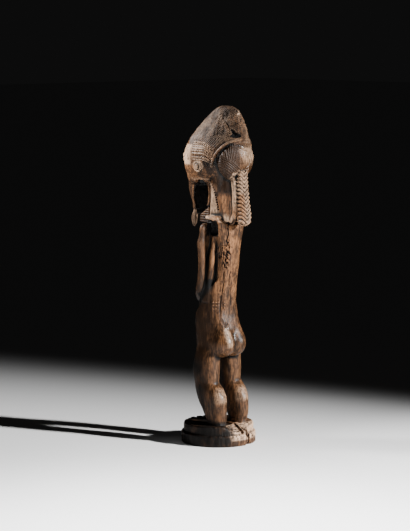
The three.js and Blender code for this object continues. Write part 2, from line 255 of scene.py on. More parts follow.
def window_of(value, start, end, edge):
    """1 between start and end, falling to 0 over the edge outside them."""
    return smooth_step(value, start - edge, start) * (1 - smooth_step(value, end, end + edge))


def smooth_min(a, b, blend):
    """The smaller of two distances, with a fillet where they meet."""
    share = np.clip(0.5 + 0.5 * (b - a) / blend, 0, 1)
    return b + (a - b) * share - blend * share * (1 - share)


def smooth_max(a, b, blend):
    """The larger of two distances, with a soft edge where they meet."""
    return -smooth_min(-a, -b, blend)


def blend_corners(grid, lows, shares):
    """The values of a grid between its points: the points below, and the shares beyond them."""
    total = 0.0
    for corner in np.ndindex(2, 2, 2):
        weight = 1.0
        for share, ahead in zip(shares, corner):
            weight = weight * (share if ahead else 1 - share)
        index = tuple((low + ahead) % size for low, ahead, size in zip(lows, corner, grid.shape))
        total = total + weight * grid[index]
    return total


def noise(place, size, seed):
    """Smooth noise from -1 to 1, with one size of lump or a size for each axis."""
    sizes = np.broadcast_to(np.asarray(size, float), (3,))
    lattice = np.random.default_rng(seed).uniform(-1, 1, (NOISE_LATTICE,) * 3)
    lows, shares = [], []
    for values, lump in zip(place, sizes):
        scaled = np.asarray(values, float) / lump + 7.31
        low = np.floor(scaled)
        share = scaled - low
        lows.append(low.astype(int))
        shares.append(share * share * (3 - 2 * share))
    return blend_corners(lattice, lows, shares)


def between(rows, place, column):
    """A smooth value between the rows of a table, which are sorted by their first number."""
    keys, values = rows[:, 0], rows[:, column]
    slopes = np.empty_like(values)
    slopes[1:-1] = (values[2:] - values[:-2]) / (keys[2:] - keys[:-2])
    slopes[0] = (values[1] - values[0]) / (keys[1] - keys[0])
    slopes[-1] = (values[-1] - values[-2]) / (keys[-1] - keys[-2])
    i = np.clip(np.searchsorted(keys, place, side="right") - 1, 0, len(keys) - 2)
    span = keys[i + 1] - keys[i]
    t = np.clip((place - keys[i]) / span, 0, 1)
    t2, t3 = t * t, t * t * t
    return (
        (2 * t3 - 3 * t2 + 1) * values[i]
        + (t3 - 2 * t2 + t) * slopes[i] * span
        + (3 * t2 - 2 * t3) * values[i + 1]
        + (t3 - t2) * slopes[i + 1] * span
    )


# Solid forms. Each knows its box and how far a point is from its surface.
class Form:
    """A solid form: its lowest and highest corner, and a function of distance."""

    def __init__(self, low, high, distance, parts=None):
        self.low = np.array(low, float)
        self.high = np.array(high, float)
        self.distance = distance
        self.parts = parts or [self]


def column(rows, roundness=2.0, edge=1.5):
    """An upright form through level sections [z, x, y, half width, half depth]."""
    rows = np.array(rows, float)
    bottom, top = rows[0, 0], rows[-1, 0]

    def distance(x, y, z):
        centre_x, centre_y, width, depth = (between(rows, z, k) for k in (1, 2, 3, 4))
        grow_x, grow_y, grow_w, grow_d = (
            between(rows, z + 0.5, k) - between(rows, z - 0.5, k) for k in (1, 2, 3, 4)
        )
        across, along = x - centre_x, y - centre_y
        out = np.hypot(across, along) + 1e-6
        share = abs(across / width) ** roundness + abs(along / depth) ** roundness
        share = share ** (1 / roundness)
        radius = np.where(share > 0.05, out / np.maximum(share, 0.05), np.minimum(width, depth))
        cos, sin = across / out, along / out
        slope = grow_w * cos * cos + grow_d * sin * sin + grow_x * cos + grow_y * sin
        gap = (share - 1) * radius / np.sqrt(1 + slope * slope)
        return smooth_max(gap, np.maximum(z - top, bottom - z), edge)

    low = (min(rows[:, 1] - rows[:, 3]), min(rows[:, 2] - rows[:, 4]), bottom)
    high = (max(rows[:, 1] + rows[:, 3]), max(rows[:, 2] + rows[:, 4]), top)
    return Form(low, high, distance)


def ball(centre, sizes):
    """A round form with three half sizes."""
    centre, sizes = np.array(centre, float), np.array(sizes, float)

    def distance(x, y, z):
        u, v, w = ((p - c) / s for p, c, s in zip((x, y, z), centre, sizes))
        reach = np.sqrt(u * u + v * v + w * w)
        steep = np.sqrt((u / sizes[0]) ** 2 + (v / sizes[1]) ** 2 + (w / sizes[2]) ** 2)
        scale = np.where(steep > 1e-3, reach / np.maximum(steep, 1e-3), min(sizes))
        return (reach - 1) * scale

    return Form(centre - sizes, centre + sizes, distance)


def drum(radius, bottom, top, edge, centre=(0, 0)):
    """An upright round drum with softened edges."""

    def distance(x, y, z):
        out = np.hypot(x - centre[0], y - centre[1]) - radius
        return smooth_max(out, np.maximum(z - top, bottom - z), edge)

    low = (centre[0] - radius, centre[1] - radius, bottom)
    high = (centre[0] + radius, centre[1] + radius, top)
    return Form(low, high, distance)


def block(centre, sizes, tilt=0.0, turn=0.0, edge=0.3):
    """A block tilted about X and then turned about Z, with softened edges."""
    centre = np.array(centre, float)
    half = np.array(sizes, float) / 2
    reach = np.linalg.norm(half)

    def distance(x, y, z):
        x, y, z = x - centre[0], y - centre[1], z - centre[2]
        x, y = x * math.cos(turn) + y * math.sin(turn), y * math.cos(turn) - x * math.sin(turn)
        y, z = y * math.cos(tilt) + z * math.sin(tilt), z * math.cos(tilt) - y * math.sin(tilt)
        sides = smooth_max(abs(x) - half[0], abs(y) - half[1], edge)
        return smooth_max(sides, abs(z) - half[2], edge)

    return Form(centre - reach, centre + reach, distance)


def smooth_path(points, spans):
    """Points on a smooth curve through the given points, whose last number is a radius."""
    points = np.array(points, float)
    lengths = np.linalg.norm(np.diff(points[:, :3], axis=0), axis=1)
    steps = np.concatenate([[0], np.cumsum(lengths)])
    table = np.column_stack([steps, points])
    places = np.linspace(0, steps[-1], (len(points) - 1) * spans + 1)
    return np.column_stack([between(table, places, k) for k in range(1, points.shape[1] + 1)])


def rod(start, end):
    """A straight round piece between two points [x, y, z, radius]."""
    a, b = np.asarray(start, float), np.asarray(end, float)
    along = b[:3] - a[:3]
    length2 = max(along @ along, 1e-9)

    def distance(x, y, z):
        from_a = (x - a[0], y - a[1], z - a[2])
        t = np.clip(sum(p * q for p, q in zip(from_a, along)) / length2, 0, 1)
        gaps = [p - t * q for p, q in zip(from_a, along)]
        return np.sqrt(sum(g * g for g in gaps)) - (a[3] + t * (b[3] - a[3]))

    low = np.minimum(a[:3] - a[3], b[:3] - b[3])
    high = np.maximum(a[:3] + a[3], b[:3] + b[3])
    return Form(low, high, distance)


def limb(points, spans=5):
    """A round form along a smooth curve through points [x, y, z, radius]."""
    path = smooth_path(points, spans)
    parts = [rod(a, b) for a, b in zip(path[:-1], path[1:])]

    def distance(x, y, z):
        return np.minimum.reduce([part.distance(x, y, z) for part in parts])

    low = np.min([part.low for part in parts], axis=0)
    high = np.max([part.high for part in parts], axis=0)
    return Form(low, high, distance, parts)


def pare(form, point, direction, edge):
    """The form with everything beyond a plane cut off."""
    direction = np.array(direction, float) / np.linalg.norm(direction)

    def distance(x, y, z):
        beyond = (x - point[0]) * direction[0] + (y - point[1]) * direction[1]
        beyond = beyond + (z - point[2]) * direction[2]
        return smooth_max(form.distance(x, y, z), beyond, edge)

    return Form(form.low, form.high, distance)


def without(form, tool, edge):
    """The form with another form cut out of it."""

    def distance(x, y, z):
        return smooth_max(form.distance(x, y, z), -tool.distance(x, y, z), edge)

    return Form(form.low, form.high, distance)


class Block:
    """A block of wood on a grid: how far each grid point is from the carved surface."""

    def __init__(self, low, high, step, coarse_step, fine_above):
        heights = np.concatenate([
            np.arange(low[2], fine_above, coarse_step),
            np.arange(fine_above, high[2] + step, step),
        ])
        self.axes = [
            np.arange(low[0], high[0] + step, step, dtype=np.float32),
            np.arange(low[1], high[1] + step, step, dtype=np.float32),
            heights.astype(np.float32),
        ]
        self.depth = np.full([len(axis) for axis in self.axes], FAR, np.float32)

    def window(self, low, high, margin):
        """The part of the grid round a box."""
        spans = []
        for axis, start, end in zip(self.axes, low, high):
            first = max(int(np.searchsorted(axis, start - margin)) - 1, 0)
            last = min(int(np.searchsorted(axis, end + margin)) + 1, len(axis))
            spans.append(slice(first, max(last, first)))
        return tuple(spans)

    def points(self, window):
        """The places of a window's grid points, one array for each axis."""
        x, y, z = (axis[span] for axis, span in zip(self.axes, window))
        return x[:, None, None], y[None, :, None], z[None, None, :]

    def measure(self, form, window, margin):
        """How far the window's grid points are from a form."""
        found = np.full([span.stop - span.start for span in window], FAR, np.float32)
        for part in form.parts:
            near = self.window(part.low, part.high, margin)
            inner = tuple(slice(n.start - w.start, n.stop - w.start) for n, w in zip(near, window))
            found[inner] = np.minimum(found[inner], part.distance(*self.points(near)))
        return found

    def add(self, form, blend=1.0):
        """Joins a form to the block, with a fillet."""
        margin = blend + REACH
        window = self.window(form.low, form.high, margin)
        gap = self.measure(form, window, margin)
        self.depth[window] = smooth_min(self.depth[window], gap, blend)

    def cut(self, form, blend=0.6):
        """Cuts a form out of the block, with a soft edge."""
        margin = blend + REACH
        window = self.window(form.low, form.high, margin)
        gap = self.measure(form, window, margin)
        self.depth[window] = smooth_max(self.depth[window], -gap, blend)


# The carving, part by part, from the base to the hair.
def carve_base(wood):
    """The round disc, the two blocky feet on it, the worn heels and the split."""
    wood.add(drum(DISC_RADIUS, 0, DISC_TOP, 1.6), 0.5)
    feet = drum(FEET_RADIUS, DISC_TOP - 3, FEET_TOP, 2.2)
    gap = block((0, 0, FEET_TOP), (FOOT_GAP, 2.2 * FEET_RADIUS, 26), edge=1.0)
    worn = block((-19, 50, 25.5), (80, 56, 16), tilt=-0.56, edge=2.0)
    far_worn = block((0, 52, 24), (112, 44, 14), tilt=-0.62, edge=2.0)
    feet = without(feet, gap, 1.4)
    feet = without(feet, far_worn, 1.5)
    feet = without(feet, worn, 1.5)
    wood.add(feet, 0.8)
    for side in SIDES:
        for x in (11, 18.5, 26, 33):
            y = -math.sqrt(FEET_RADIUS ** 2 - x ** 2)
            turn = math.atan2(x, -y) * side * 0.5
            wood.cut(block((x * side, y, FEET_TOP - 2), (1.6, 15, 9), turn=turn), 0.8)
    wood.cut(limb(HEEL_GROOVE), 1.2)
    split = (math.cos(SPLIT_ANGLE) * 48, math.sin(SPLIT_ANGLE) * 48, 7)
    turn = SPLIT_ANGLE - math.pi / 2
    wood.cut(block(split, (3.6, 10, 40), turn=turn, edge=1.0), 0.8)
    wood.cut(ball((-11, 50.5, 0.5), (7.5, 4.5, 4.2)), 1.5)


def carve_leg(wood, side):
    """A leg: bent at the knee, with a full calf and a narrow ankle, running into the hips."""
    wood.add(column([
        [FEET_TOP - 5, LEG_X * side, 17, 11.5, 15],
        [FEET_TOP + 4, LEG_X * side, 17, 10.5, 14],
        [39, LEG_X * side, 15.5, 11, 17],
        [52, LEG_X * side, 11.5, 12.5, 21],
        [63, LEG_X * side, 8, 13.5, 23],
        [73, LEG_X * side, 4, 13.5, 22],
        [82, LEG_X * side, -1, 13, 18.5],
        [90, LEG_X * side, -2.5, 13.5, 19.5],
        [102, LEG_X * side, -2.4, 14, 20],
        [116, 19 * side, -1.5, 13.5, 19],
        [132, 15.6 * side, -1, 12.2, 18.5],
        [144, 13.6 * side, -1, 11.8, 18.5],
        [156, 12 * side, -1, 10, 17],
    ], roundness=2.3), 1.6)


def carve_hips(wood):
    """The hips, whose upper edge slopes down under the forearms, the belly and the buttocks."""
    block_of_hips = column([
        [119, 0, -0.5, 21.5, 18],
        [125, 0, -1, 25.8, 21],
        [140, 0, -2.5, 27.4, 22.5],
        [155, 0, -4, 26.8, 24],
        [172, 0, -5, 26, 24.3],
        [190, 0, -4, 24, 23.6],
        [206, 0, -1, 23, 22.3],
        [222, 0, 1, 22.2, 20.2],
    ], roundness=2.65, edge=4.0)
    wood.add(pare(block_of_hips, (0, 0, LEDGE_Z), (0, -LEDGE_SLOPE, 1), 1.0), 3.5)
    wood.add(ball((0, -7, 184), (21, 21, 27)), 3.0)
    wood.add(ball((0, -28, 178), (4, 3.5, 4)), 1.5)
    for side in SIDES:
        wood.add(limb([
            [8 * side, 8, 180, 12],
            [8.5 * side, 10.5, 166, 12.8],
            [9.5 * side, 14.3, 152, 13.6],
            [10.3 * side, 17.6, 141, 15],
            [BUTTOCK_X * side, 18.5, 132, 15],
        ]), 5.0)
        wood.add(ball((BUTTOCK_X * side, 15, BUTTOCK_Z), (14.8, 21, 16.6)), 4.0)
    wood.add(limb([[0, 7, 180, 12], [0, 11, 166, 12.4], [0, 15.3, 154, 12.4]]), 4.0)
    wood.cut(limb([[0, 31, 150, 0.4], [0, 33.5, 138, 1.0], [0, 31, 122, 2.0]]), 1.2)


def carve_trunk(wood):
    """The trunk: a long slab of a back on a wider front, with a recess under each shoulder."""
    back = column([
        [150, 0, 0, 20, 20.5],
        [175, 0, 2, 19, 20],
        [190, 0, 3, 18, 19.8],
        [217, 0, 6.5, 17, 19],
        [240, 0, 10, 17, 19.5],
        [265, 0, 12.5, 18, 19.5],
        [286, 0, 15, 21, 19],
        [298, 0, 15, 22, 18.2],
        [306, 0, 14, 21, 16],
    ], roundness=2.8, edge=2.0)
    wood.add(pare(back, (0, 15, 304.5), (0, 0.5, 0.87), 1.6), 2.0)
    wood.add(column([
        [190, 0, -2, 25.5, 12],
        [217, 0, -1, 25.5, 11.5],
        [240, 0, 0.5, 24, 11],
        [252, 0, 1.5, 21.5, 10.8],
        [264, 0, 2.5, 18, 10.5],
        [280, 0, 3, 16.5, 10],
        [300, 0, 4, 16.5, 10],
    ], roundness=3.2, edge=2.0), 1.4)
    for side in SIDES:
        wood.add(limb([
            [19.5 * side, 12.5, 283, 1.5],
            [20.8 * side, 11.6, 268, 2.8],
            [21.6 * side, 9.8, 245, 3.6],
            [22.2 * side, 7.0, 222, 3.8],
            [22 * side, 4.5, 206, 2.5],
        ]), 1.2)
        wood.cut(block((25 * side, 11, 290.5), (20, 20, 20), edge=3.5), 1.2)


def carve_shoulder(wood, side):
    """The thin shelf of a shoulder, and its rounded outer edge, which runs on down the back."""
    wood.add(block((12 * side, 12, SHOULDER_Z + 0.8), (23.5, 18, 5.2), edge=2.2), 1.5)
    wood.add(limb([
        [14 * side, -3, SHOULDER_Z + 0.6, 2.2],
        [22.5 * side, 2, SHOULDER_Z + 1.2, 2.4],
        [25.5 * side, 9, SHOULDER_Z + 1.0, 2.4],
        [24 * side, 16, SHOULDER_Z - 0.4, 2.4],
        [19.8 * side, 21.5, SHOULDER_Z - 4.5, 2.2],
        [18.8 * side, 22.4, 290, 1.8],
        [18.3 * side, 22.8, 281, 1.4],
    ]), 1.6)


def carve_arm(wood, side):
    """An arm: down to the elbow, then forward to the hand, on a thin web beside the trunk."""
    wood.add(limb([
        [14 * side, -3, 291.5, 4.4],
        [24 * side, -1, 290.8, 4.2],
        [29.2 * side, 0.5, 289.2, 4.4],
        [30.2 * side, 0.4, 284, 4.0],
        [30.6 * side, 0, 277, 4.2],
        [31.4 * side, -0.6, 269, 5.3],
        [30.2 * side, -0.8, 257, 4.5],
        [29 * side, -1.5, 238, 4.8],
        [28.3 * side, -3.6, 220, 5.2],
        [26 * side, -8, ELBOW_Z, 5.8],
        [18.5 * side, -17, 199, 5.6],
        [10.5 * side, -23.5, HAND_Z + 3, 5.2],
        [4 * side, -27, HAND_Z, 3.8],
    ]), 0.8)
    wood.add(block((23 * side, -2.8, 250), (16, 3.6, 92), tilt=-0.12, edge=1.2), 1.0)
    for up in (-2.5, 1, 4.5):
        wood.cut(block((6 * side, -32, HAND_Z + up), (10, 7, 0.9), turn=0.5 * side), 0.6)


def carve_neck(wood):
    """The neck with the ridges for its notches, the nape and the smooth locks on it."""
    wood.add(column([
        [290, 0, 9.5, 17, 18],
        [303, 0, 9.5, 17.5, 18.5],
        [320, 0, 9, 16.5, 17],
        [342, 0, 9.5, 16.5, 17.5],
        [366, 0, 8, 20, 20],
    ]), 1.6)
    wood.add(column([
        [298, 0, 24, 14.2, 14.5],
        [320, 0, 23.5, 13.6, 14.2],
        [338, 0, 22.5, 13.0, 13.5],
        [356, 0, 20, 12, 12],
    ], roundness=2.3), 2.5)
    for side in SIDES:
        wood.add(limb([
            [8.5 * side, 32, 362, 4.0],
            [9 * side, 38, 352, 3.8],
            [9 * side, 40, 338, 3.5],
            [9 * side, 40.2, 322, 3.3],
            [9 * side, 39.6, 309, 3.4],
            [9 * side, 35, 298, 3.8],
        ]), 1.0)
        wood.add(limb([(x * side, y, z, 1.6) for x, y, z in neck_row()], spans=2), 1.5)


def neck_row():
    """The places of the notches down the left side of the neck."""
    places = []
    for z in np.arange(314, 359, NOTCH_STEP):
        angle = between(NECK_ROW, z, 1)
        reach = 16.3 + 0.125 * max(z - 342, 0)
        places.append((math.cos(angle) * reach, NECK_Y + math.sin(angle) * (reach + 0.5), z))
    return places


def carve_head(wood):
    """The head: deep from front to back, under a crest that narrows to a ridge."""
    wood.add(column(HEAD_SECTIONS, roundness=2.15, edge=2.5), 2.0)
    wood.add(ball(*CREST_KNOB), 1.0)
    wood.cut(ball((1.5, 32.5, 447.5), (4, 2.2, 2)), 0.8)
    for path in CREST_HOLE:
        wood.cut(limb(path), 0.8)
    wood.cut(ball((4.5, 48, 415), (3.4, 3, 3.4)), 1.0)
    for side in SIDES:
        wood.cut(ball((13 * side, -17.5, 334), (9.5, 14.5, 21)), 2.5)


def carve_bun(wood):
    """The bun: a dome on the back of the head, under a rim that is filled out on its right."""
    wood.add(bun_form(), 1.0)
    wood.add(limb([
        [11, 40.6, 402, 2.5],
        [0, 43.2, 403.2, 3.4],
        [-10.5, 41.2, 402.2, 4.4],
        [-19.4, 35.6, 398.8, 4.8],
        [-24, 29.5, 393, 4.6],
        [-26.5, 24, 385, 4.0],
    ]), 3.0)
    wood.add(limb(rim_path(), spans=6), 1.5)
    wood.cut(limb(BUN_GROOVE), 0.8)
    wood.cut(limb([[-x, y, z, r * 0.5] for x, y, z, r in BUN_GROOVE[:4]]), 0.8)


def bun_form():
    """The dome of the bun."""
    return ball((0, 31.2, BUN_Z), (29, 17.2, 28.8))


def rim_path():
    """The arch of the rim, from the left side over the bun to the right."""
    left = [
        [30.2, 17.5, 371, 1.0],
        [29.7, 20.0, 380, 1.6],
        [27.8, 24.6, 389, 1.8],
        [24.8, 31.4, 396.8, 1.8],
        [19.4, 38.8, 403.2, 1.8],
        [10.5, 44.8, 406.2, 1.7],
    ]
    right = [[-x, y, z, r] for x, y, z, r in reversed(left)]
    return [*left, [0, 46.4, 407, 1.7], *right]


def carve_ear(wood, side):
    """An ear: a round button with a ring cut into it, and a hollow behind it."""
    middle = (EAR_X * side, EAR_Y, EAR_Z)
    wood.add(ball(middle, (3.6, 7.2, 7.6)), 0.5)
    turns = 12
    ring = []
    for turn in range(turns + 1):
        angle = 2 * math.pi * turn / turns
        y = EAR_Y + 4.2 * math.cos(angle)
        ring.append([(EAR_X + 2.6) * side, y, EAR_Z + 4.6 * math.sin(angle), 0.9])
    wood.cut(limb(ring, spans=2), 0.5)
    wood.cut(limb([
        [(EAR_X + 1) * side, 3.5, EAR_Z + 6, 1.4],
        [(EAR_X + 0.5) * side, 5.2, EAR_Z + 1, 3.0],
        [(EAR_X - 1) * side, 7.5, EAR_Z - 4, 2.2],
    ]), 0.8)


def carve_braid(wood):
    """The braid that hangs from the bun to the shoulders, joined to the nape by a narrow web."""
    wood.add(braid_form(), 1.0)
    wood.add(block((0, 34, 334), (12, 20, 64), edge=1.5), 1.0)


def braid_form():
    """The braid before its chevrons are cut."""
    return column(BRAID_SECTIONS, roundness=BRAID_ROUNDNESS, edge=3.0)


def carve_beard(wood):
    """The slim beard, the web behind it and the ringed block that holds it off the throat."""
    wood.add(limb([
        [0, -42, 358, 10],
        [0, -49, 348, 6.2],
        [0, -51, 339, 4.1],
        [0, -49.5, 330, 3.7],
        [0, -45.5, 318, 2.8],
        [0, -44, 309, 2.8],
        [0, -46, 300, 4.2],
        [0, -46.5, 292, 3.3],
        [0, -46.5, 288, 1.8],
    ]), 1.0)
    wood.add(block((0, -25.5, 329), (2 * WEB_HALF, 39, 50), edge=1.2), 1.5)
    frame_block = block((0, -29.5, 333), (9, 32, 44), edge=1.2)
    wood.add(without(frame_block, ball(*THROAT_OVAL), 1.0), 1.0)
    ringed = block((0, -21.5, 306), (2 * RINGED_BLOCK_HALF, 18, 24), edge=2.2)
    top = (0, RINGED_TOP_Y, RINGED_TOP_Z)
    wood.add(pare(ringed, top, (0, -RINGED_TOP_SLOPE, 1), 1.5), 1.0)
    for z in (296.5, 300, 303.2, 306.4, 309.4, 312.2):
        for side in SIDES:
            wood.cut(block(((RINGED_BLOCK_HALF + 1) * side, -22, z), (4, 24, 1.0)), 0.7)


def carve_face(wood):
    """The face: calm, with arched brows, a long nose, closed eyes and a small mouth."""
    wood.add(limb([
        [0, -49, EYE_Z + 8, 2.4],
        [0, -53, EYE_Z, 2.6],
        [0, -55, 369, 3.6],
        [0, -52.5, 364.5, 3.4],
    ]), 1.4)
    wood.add(ball((0, -50, MOUTH_Z), (8, 6, 3.8)), 1.0)
    wood.cut(block((0, -56, MOUTH_Z), (20, 6, 0.9)), 0.7)
    for side in SIDES:
        wood.add(limb([
            [1.5 * side, -51, EYE_Z + 5.5, 1.9],
            [10 * side, -49.5, EYE_Z + 8.5, 2.2],
            [20 * side, -43.5, EYE_Z + 6.5, 2.1],
            [27 * side, -36, EYE_Z + 1, 1.4],
        ]), 1.2)
        wood.add(ball((EYE_X * side, -45, EYE_Z), (8, 6, 4.6)), 0.8)
        wood.cut(block((EYE_X * side, -52.5, EYE_Z - 0.6), (22, 7.6, 0.9), turn=0.35 * side), 0.7)


def carve_marks(wood):
    """The scars raised on the back and the notches cut down the neck."""
    for place in SCARS:
        wood.add(ball(place, (1.5, 1.5, 1.2)), 0.5)
    for side in SIDES:
        for x, y, z in neck_row():
            out_y = NECK_Y + (y - NECK_Y) * NOTCH_REACH
            wood.cut(ball((x * NOTCH_REACH * side, out_y, z), (1.3, 1.3, 0.95)), 0.4)


def carve_figure(wood):
    """Every part of the carving, in the order in which it is cut."""
    carve_base(wood)
    for side in SIDES:
        carve_leg(wood, side)
    carve_hips(wood)
    carve_trunk(wood)
    carve_neck(wood)
    carve_head(wood)
    carve_bun(wood)
    carve_braid(wood)
    carve_beard(wood)
    carve_face(wood)
    for side in SIDES:
        carve_shoulder(wood, side)
        carve_arm(wood, side)
        carve_ear(wood, side)
    carve_marks(wood)


# Taking the surface off the grid.
def take_surface(wood):
    """The carved surface as points in millimetres and four-sided faces."""
    depth = wood.depth
    inside = depth < 0
    count = np.zeros([n - 1 for n in depth.shape], np.int8)
    corners = list(np.ndindex(2, 2, 2))
    for dx, dy, dz in corners:
        count += inside[dx:dx + count.shape[0], dy:dy + count.shape[1], dz:dz + count.shape[2]]
    cells = np.argwhere((count > 0) & (count < 8))
    number = np.full(count.shape, -1, np.int32)
    number[tuple(cells.T)] = np.arange(len(cells))
    values = {c: depth[tuple((cells + c).T)] for c in corners}
    total = np.zeros((len(cells), 3))
    crossings = np.zeros(len(cells))
    for start in corners:
        for axis in range(3):
            if start[axis]:
                continue
            end = tuple(v + (k == axis) for k, v in enumerate(start))
            a, b = values[start], values[end]
            crossed = (a < 0) != (b < 0)
            t = np.where(crossed, a / np.where(crossed, a - b, 1), 0)
            spot = np.array(start, float)[None, :] + np.eye(3)[axis] * t[:, None]
            total += np.where(crossed[:, None], spot, 0)
            crossings += crossed
    spots = cells + total / crossings[:, None]
    points = np.column_stack([
        np.interp(spots[:, k], np.arange(len(axis)), axis) for k, axis in enumerate(wood.axes)
    ])
    faces = [faces_across(inside, number, axis) for axis in range(3)]
    return points, np.concatenate(faces)


def faces_across(inside, number, axis):
    """One face for each grid line along an axis that passes through the surface."""
    ahead = np.moveaxis(inside, axis, 0)
    crossed = np.argwhere(ahead[1:] != ahead[:-1])
    crossed = crossed[(crossed[:, 1] > 0) & (crossed[:, 2] > 0)]
    crossed = crossed[(crossed[:, 1] < ahead.shape[1] - 1) & (crossed[:, 2] < ahead.shape[2] - 1)]
    cells = np.moveaxis(number, axis, 0)
    i, j, k = crossed.T
    ring = [cells[i, j - 1, k - 1], cells[i, j, k - 1], cells[i, j, k], cells[i, j - 1, k]]
    quads = np.column_stack(ring)
    outward = ahead[i, j, k]
    if axis == 1:
        outward = ~outward
    return np.where(outward[:, None], quads, quads[:, ::-1])


def sample(wood, grid, points):
    """The values of a grid at the given points."""
    lows, shares = [], []
    for k, axis in enumerate(wood.axes):
        spot = np.interp(points[:, k], axis, np.arange(len(axis)))
        low = np.clip(np.floor(spot).astype(int), 0, len(axis) - 2)
        lows.append(low)
        shares.append(spot - low)
    return blend_corners(grid, lows, shares)


def outward(wood, points):
    """The direction out of the wood at each point."""
    reach = 0.8
    slope = np.empty_like(points)
    for axis in range(3):
        step = np.zeros(3)
        step[axis] = reach
        ahead = sample(wood, wood.depth, points + step)
        slope[:, axis] = ahead - sample(wood, wood.depth, points - step)
    return slope / np.maximum(np.linalg.norm(slope, axis=1, keepdims=True), 1e-6)


def soften(grid, cells):
    """The grid with each value averaged over the cells round it, along each axis."""
    grid = np.clip(grid, -REACH, REACH)
    for axis in range(3):
        padded = np.concatenate([
            np.repeat(np.take(grid, [0], axis), cells + 1, axis),
            grid,
            np.repeat(np.take(grid, [-1], axis), cells, axis),
        ], axis)
        total = np.cumsum(padded, axis, dtype=np.float64)
        span = 2 * cells + 1
        size = grid.shape[axis]
        upper = np.take(total, np.arange(span, span + size), axis)
        lower = np.take(total, np.arange(size), axis)
        grid = ((upper - lower) / span).astype(np.float32)
    return grid


# Lines, marks and damage pressed into the surface. Each gives how far it pushes a point out.
def bands(phase, sharpness=1.0):
    """Even ridges, one for each whole number of the phase, with narrow grooves between."""
    wave = 0.5 + 0.5 * np.cos(2 * math.pi * phase)
    return wave ** sharpness - 0.5


def hair_mask(y, z):
    """1 on the hair of the head and 0 on the face and neck."""
    edge = np.where(y < -10, HAIRLINE_Z, HAIRLINE_Z - np.minimum((y + 10) * 1.6, 40))
    return smooth_step(z - edge, -0.8, 0.8)


def near(form, x, y, z, reach):
    """1 on a form's surface and inside it, falling to 0 at the reach outside it."""
    return 1 - smooth_step(form.distance(x, y, z), 0.3 * reach, reach)


def crest_lines(x, y, z):
    """Combed lines on the sides of the crest, parallel to its front slope."""
    across = 0.72 * y - 0.70 * z + 1.2 * noise((x, y, z), 9, 11)
    strength = np.clip(0.6 + 0.9 * noise((x, y, z), 12, 12), 0.15, 1)
    off_bun = smooth_step(bun_form().distance(x, y, z), 3.0, 5.0)
    return bands(across / CREST_COMB) * 0.9 * strength * hair_mask(y, z) * off_bun


def crest_wear(x, y, z):
    """The dry, rough wood at the top and back of the crest, cracked and pitted."""
    high = smooth_step(z, 404, 416) * smooth_step(y, -10, 14)
    pits = np.clip(abs(noise((x, y, z), (2.4, 2.4, 5), 31)) - 0.35, 0, 1) * -1.8
    lumps = noise((x, y, z), (3.5, 3.5, 7), 32) * 0.55
    rough_back = smooth_step(y, 36, 42) * smooth_step(z, 408, 414)
    return (pits * 0.7 + lumps) * high + noise((x, y, z), 2.1, 33) * 0.5 * rough_back


def bun_lines(x, y, z):
    """Combed lines on the bun: upright above, and slanting in two fields at its lower sides."""
    on_bun = near(bun_form(), x, y, z, 2.4) * smooth_step(y, 26, 30)
    up = (z - BUN_Z - 6) / 25
    spread = x / np.sqrt(np.maximum(1 - up * up, 0.06))
    upright = bands(spread / BUN_COMB, 0.8)
    side_x, rise = abs(x), z - BRAID_ROOT[2]
    turn = np.arctan2(rise, side_x)
    slanting = bands((rise * 0.78 - side_x * 0.62) / BUN_COMB, 0.8)
    crossing = bands((rise * 0.70 + side_x * 0.70) / BUN_COMB, 0.8)
    upper = smooth_step(turn, 0.62, 0.70)
    lower = 1 - smooth_step(turn, -0.12, -0.04)
    lines = upright * upper + slanting * (1 - upper) * (1 - lower) + crossing * lower
    seam = np.exp(-((turn - 0.66) / 0.06) ** 2) * 0.8 * (side_x > 3)
    from_root = smooth_step(np.hypot(side_x, rise), 3, 8)
    worn_smooth = 1 - 0.75 * smooth_step(x, 6, -8) * smooth_step(z, 366, 376)
    return (lines * 0.95 * from_root * worn_smooth + seam) * on_bun


def braid_chevrons(x, y, z):
    """Plaited chevrons down the braid, pointing down."""
    centre_y = between(np.array(BRAID_SECTIONS, float), z, 2)
    on_braid = near(braid_form(), x, y, z, 1.6) * smooth_step(y - centre_y, -3.5, -1.5)
    phase = (BRAID_TOP - z) / PLAIT_STEP + abs(x) / PLAIT_WIDTH
    return (bands(phase, 1.1) * 1.9 - 0.15) * on_braid


def temple_rows(x, y, z):
    """Raised lines and rows of beads over the temple, above the ear."""
    total = np.zeros_like(x)
    reach = window_of(y, -14.5, 19, 2.0) * (abs(x) > 20)
    droop = 0.035 * np.maximum(y - 3, 0) ** 2
    for height, kind in TEMPLE_ROWS:
        ridge = np.exp(-((z - height + droop) / 0.85) ** 2)
        swell = 0.75
        if kind:
            swell = 0.35 + 1.1 * smooth_step(np.cos(2 * math.pi * y / BEAD_STEP), -0.4, 0.5)
        total = total + ridge * swell
    return total * 0.9 * reach


def path_distance(u, v, path):
    """How far points in a plane are from a path [u, v, half width], less its half width."""
    path = np.array(path, float)
    nearest = np.full(np.shape(u), FAR)
    for a, b in zip(path[:-1], path[1:]):
        along = b[:2] - a[:2]
        t = np.clip(((u - a[0]) * along[0] + (v - a[1]) * along[1]) / (along @ along), 0, 1)
        gap = np.hypot(u - a[0] - t * along[0], v - a[1] - t * along[1])
        nearest = np.minimum(nearest, gap - (a[2] + t * (b[2] - a[2])))
    return nearest


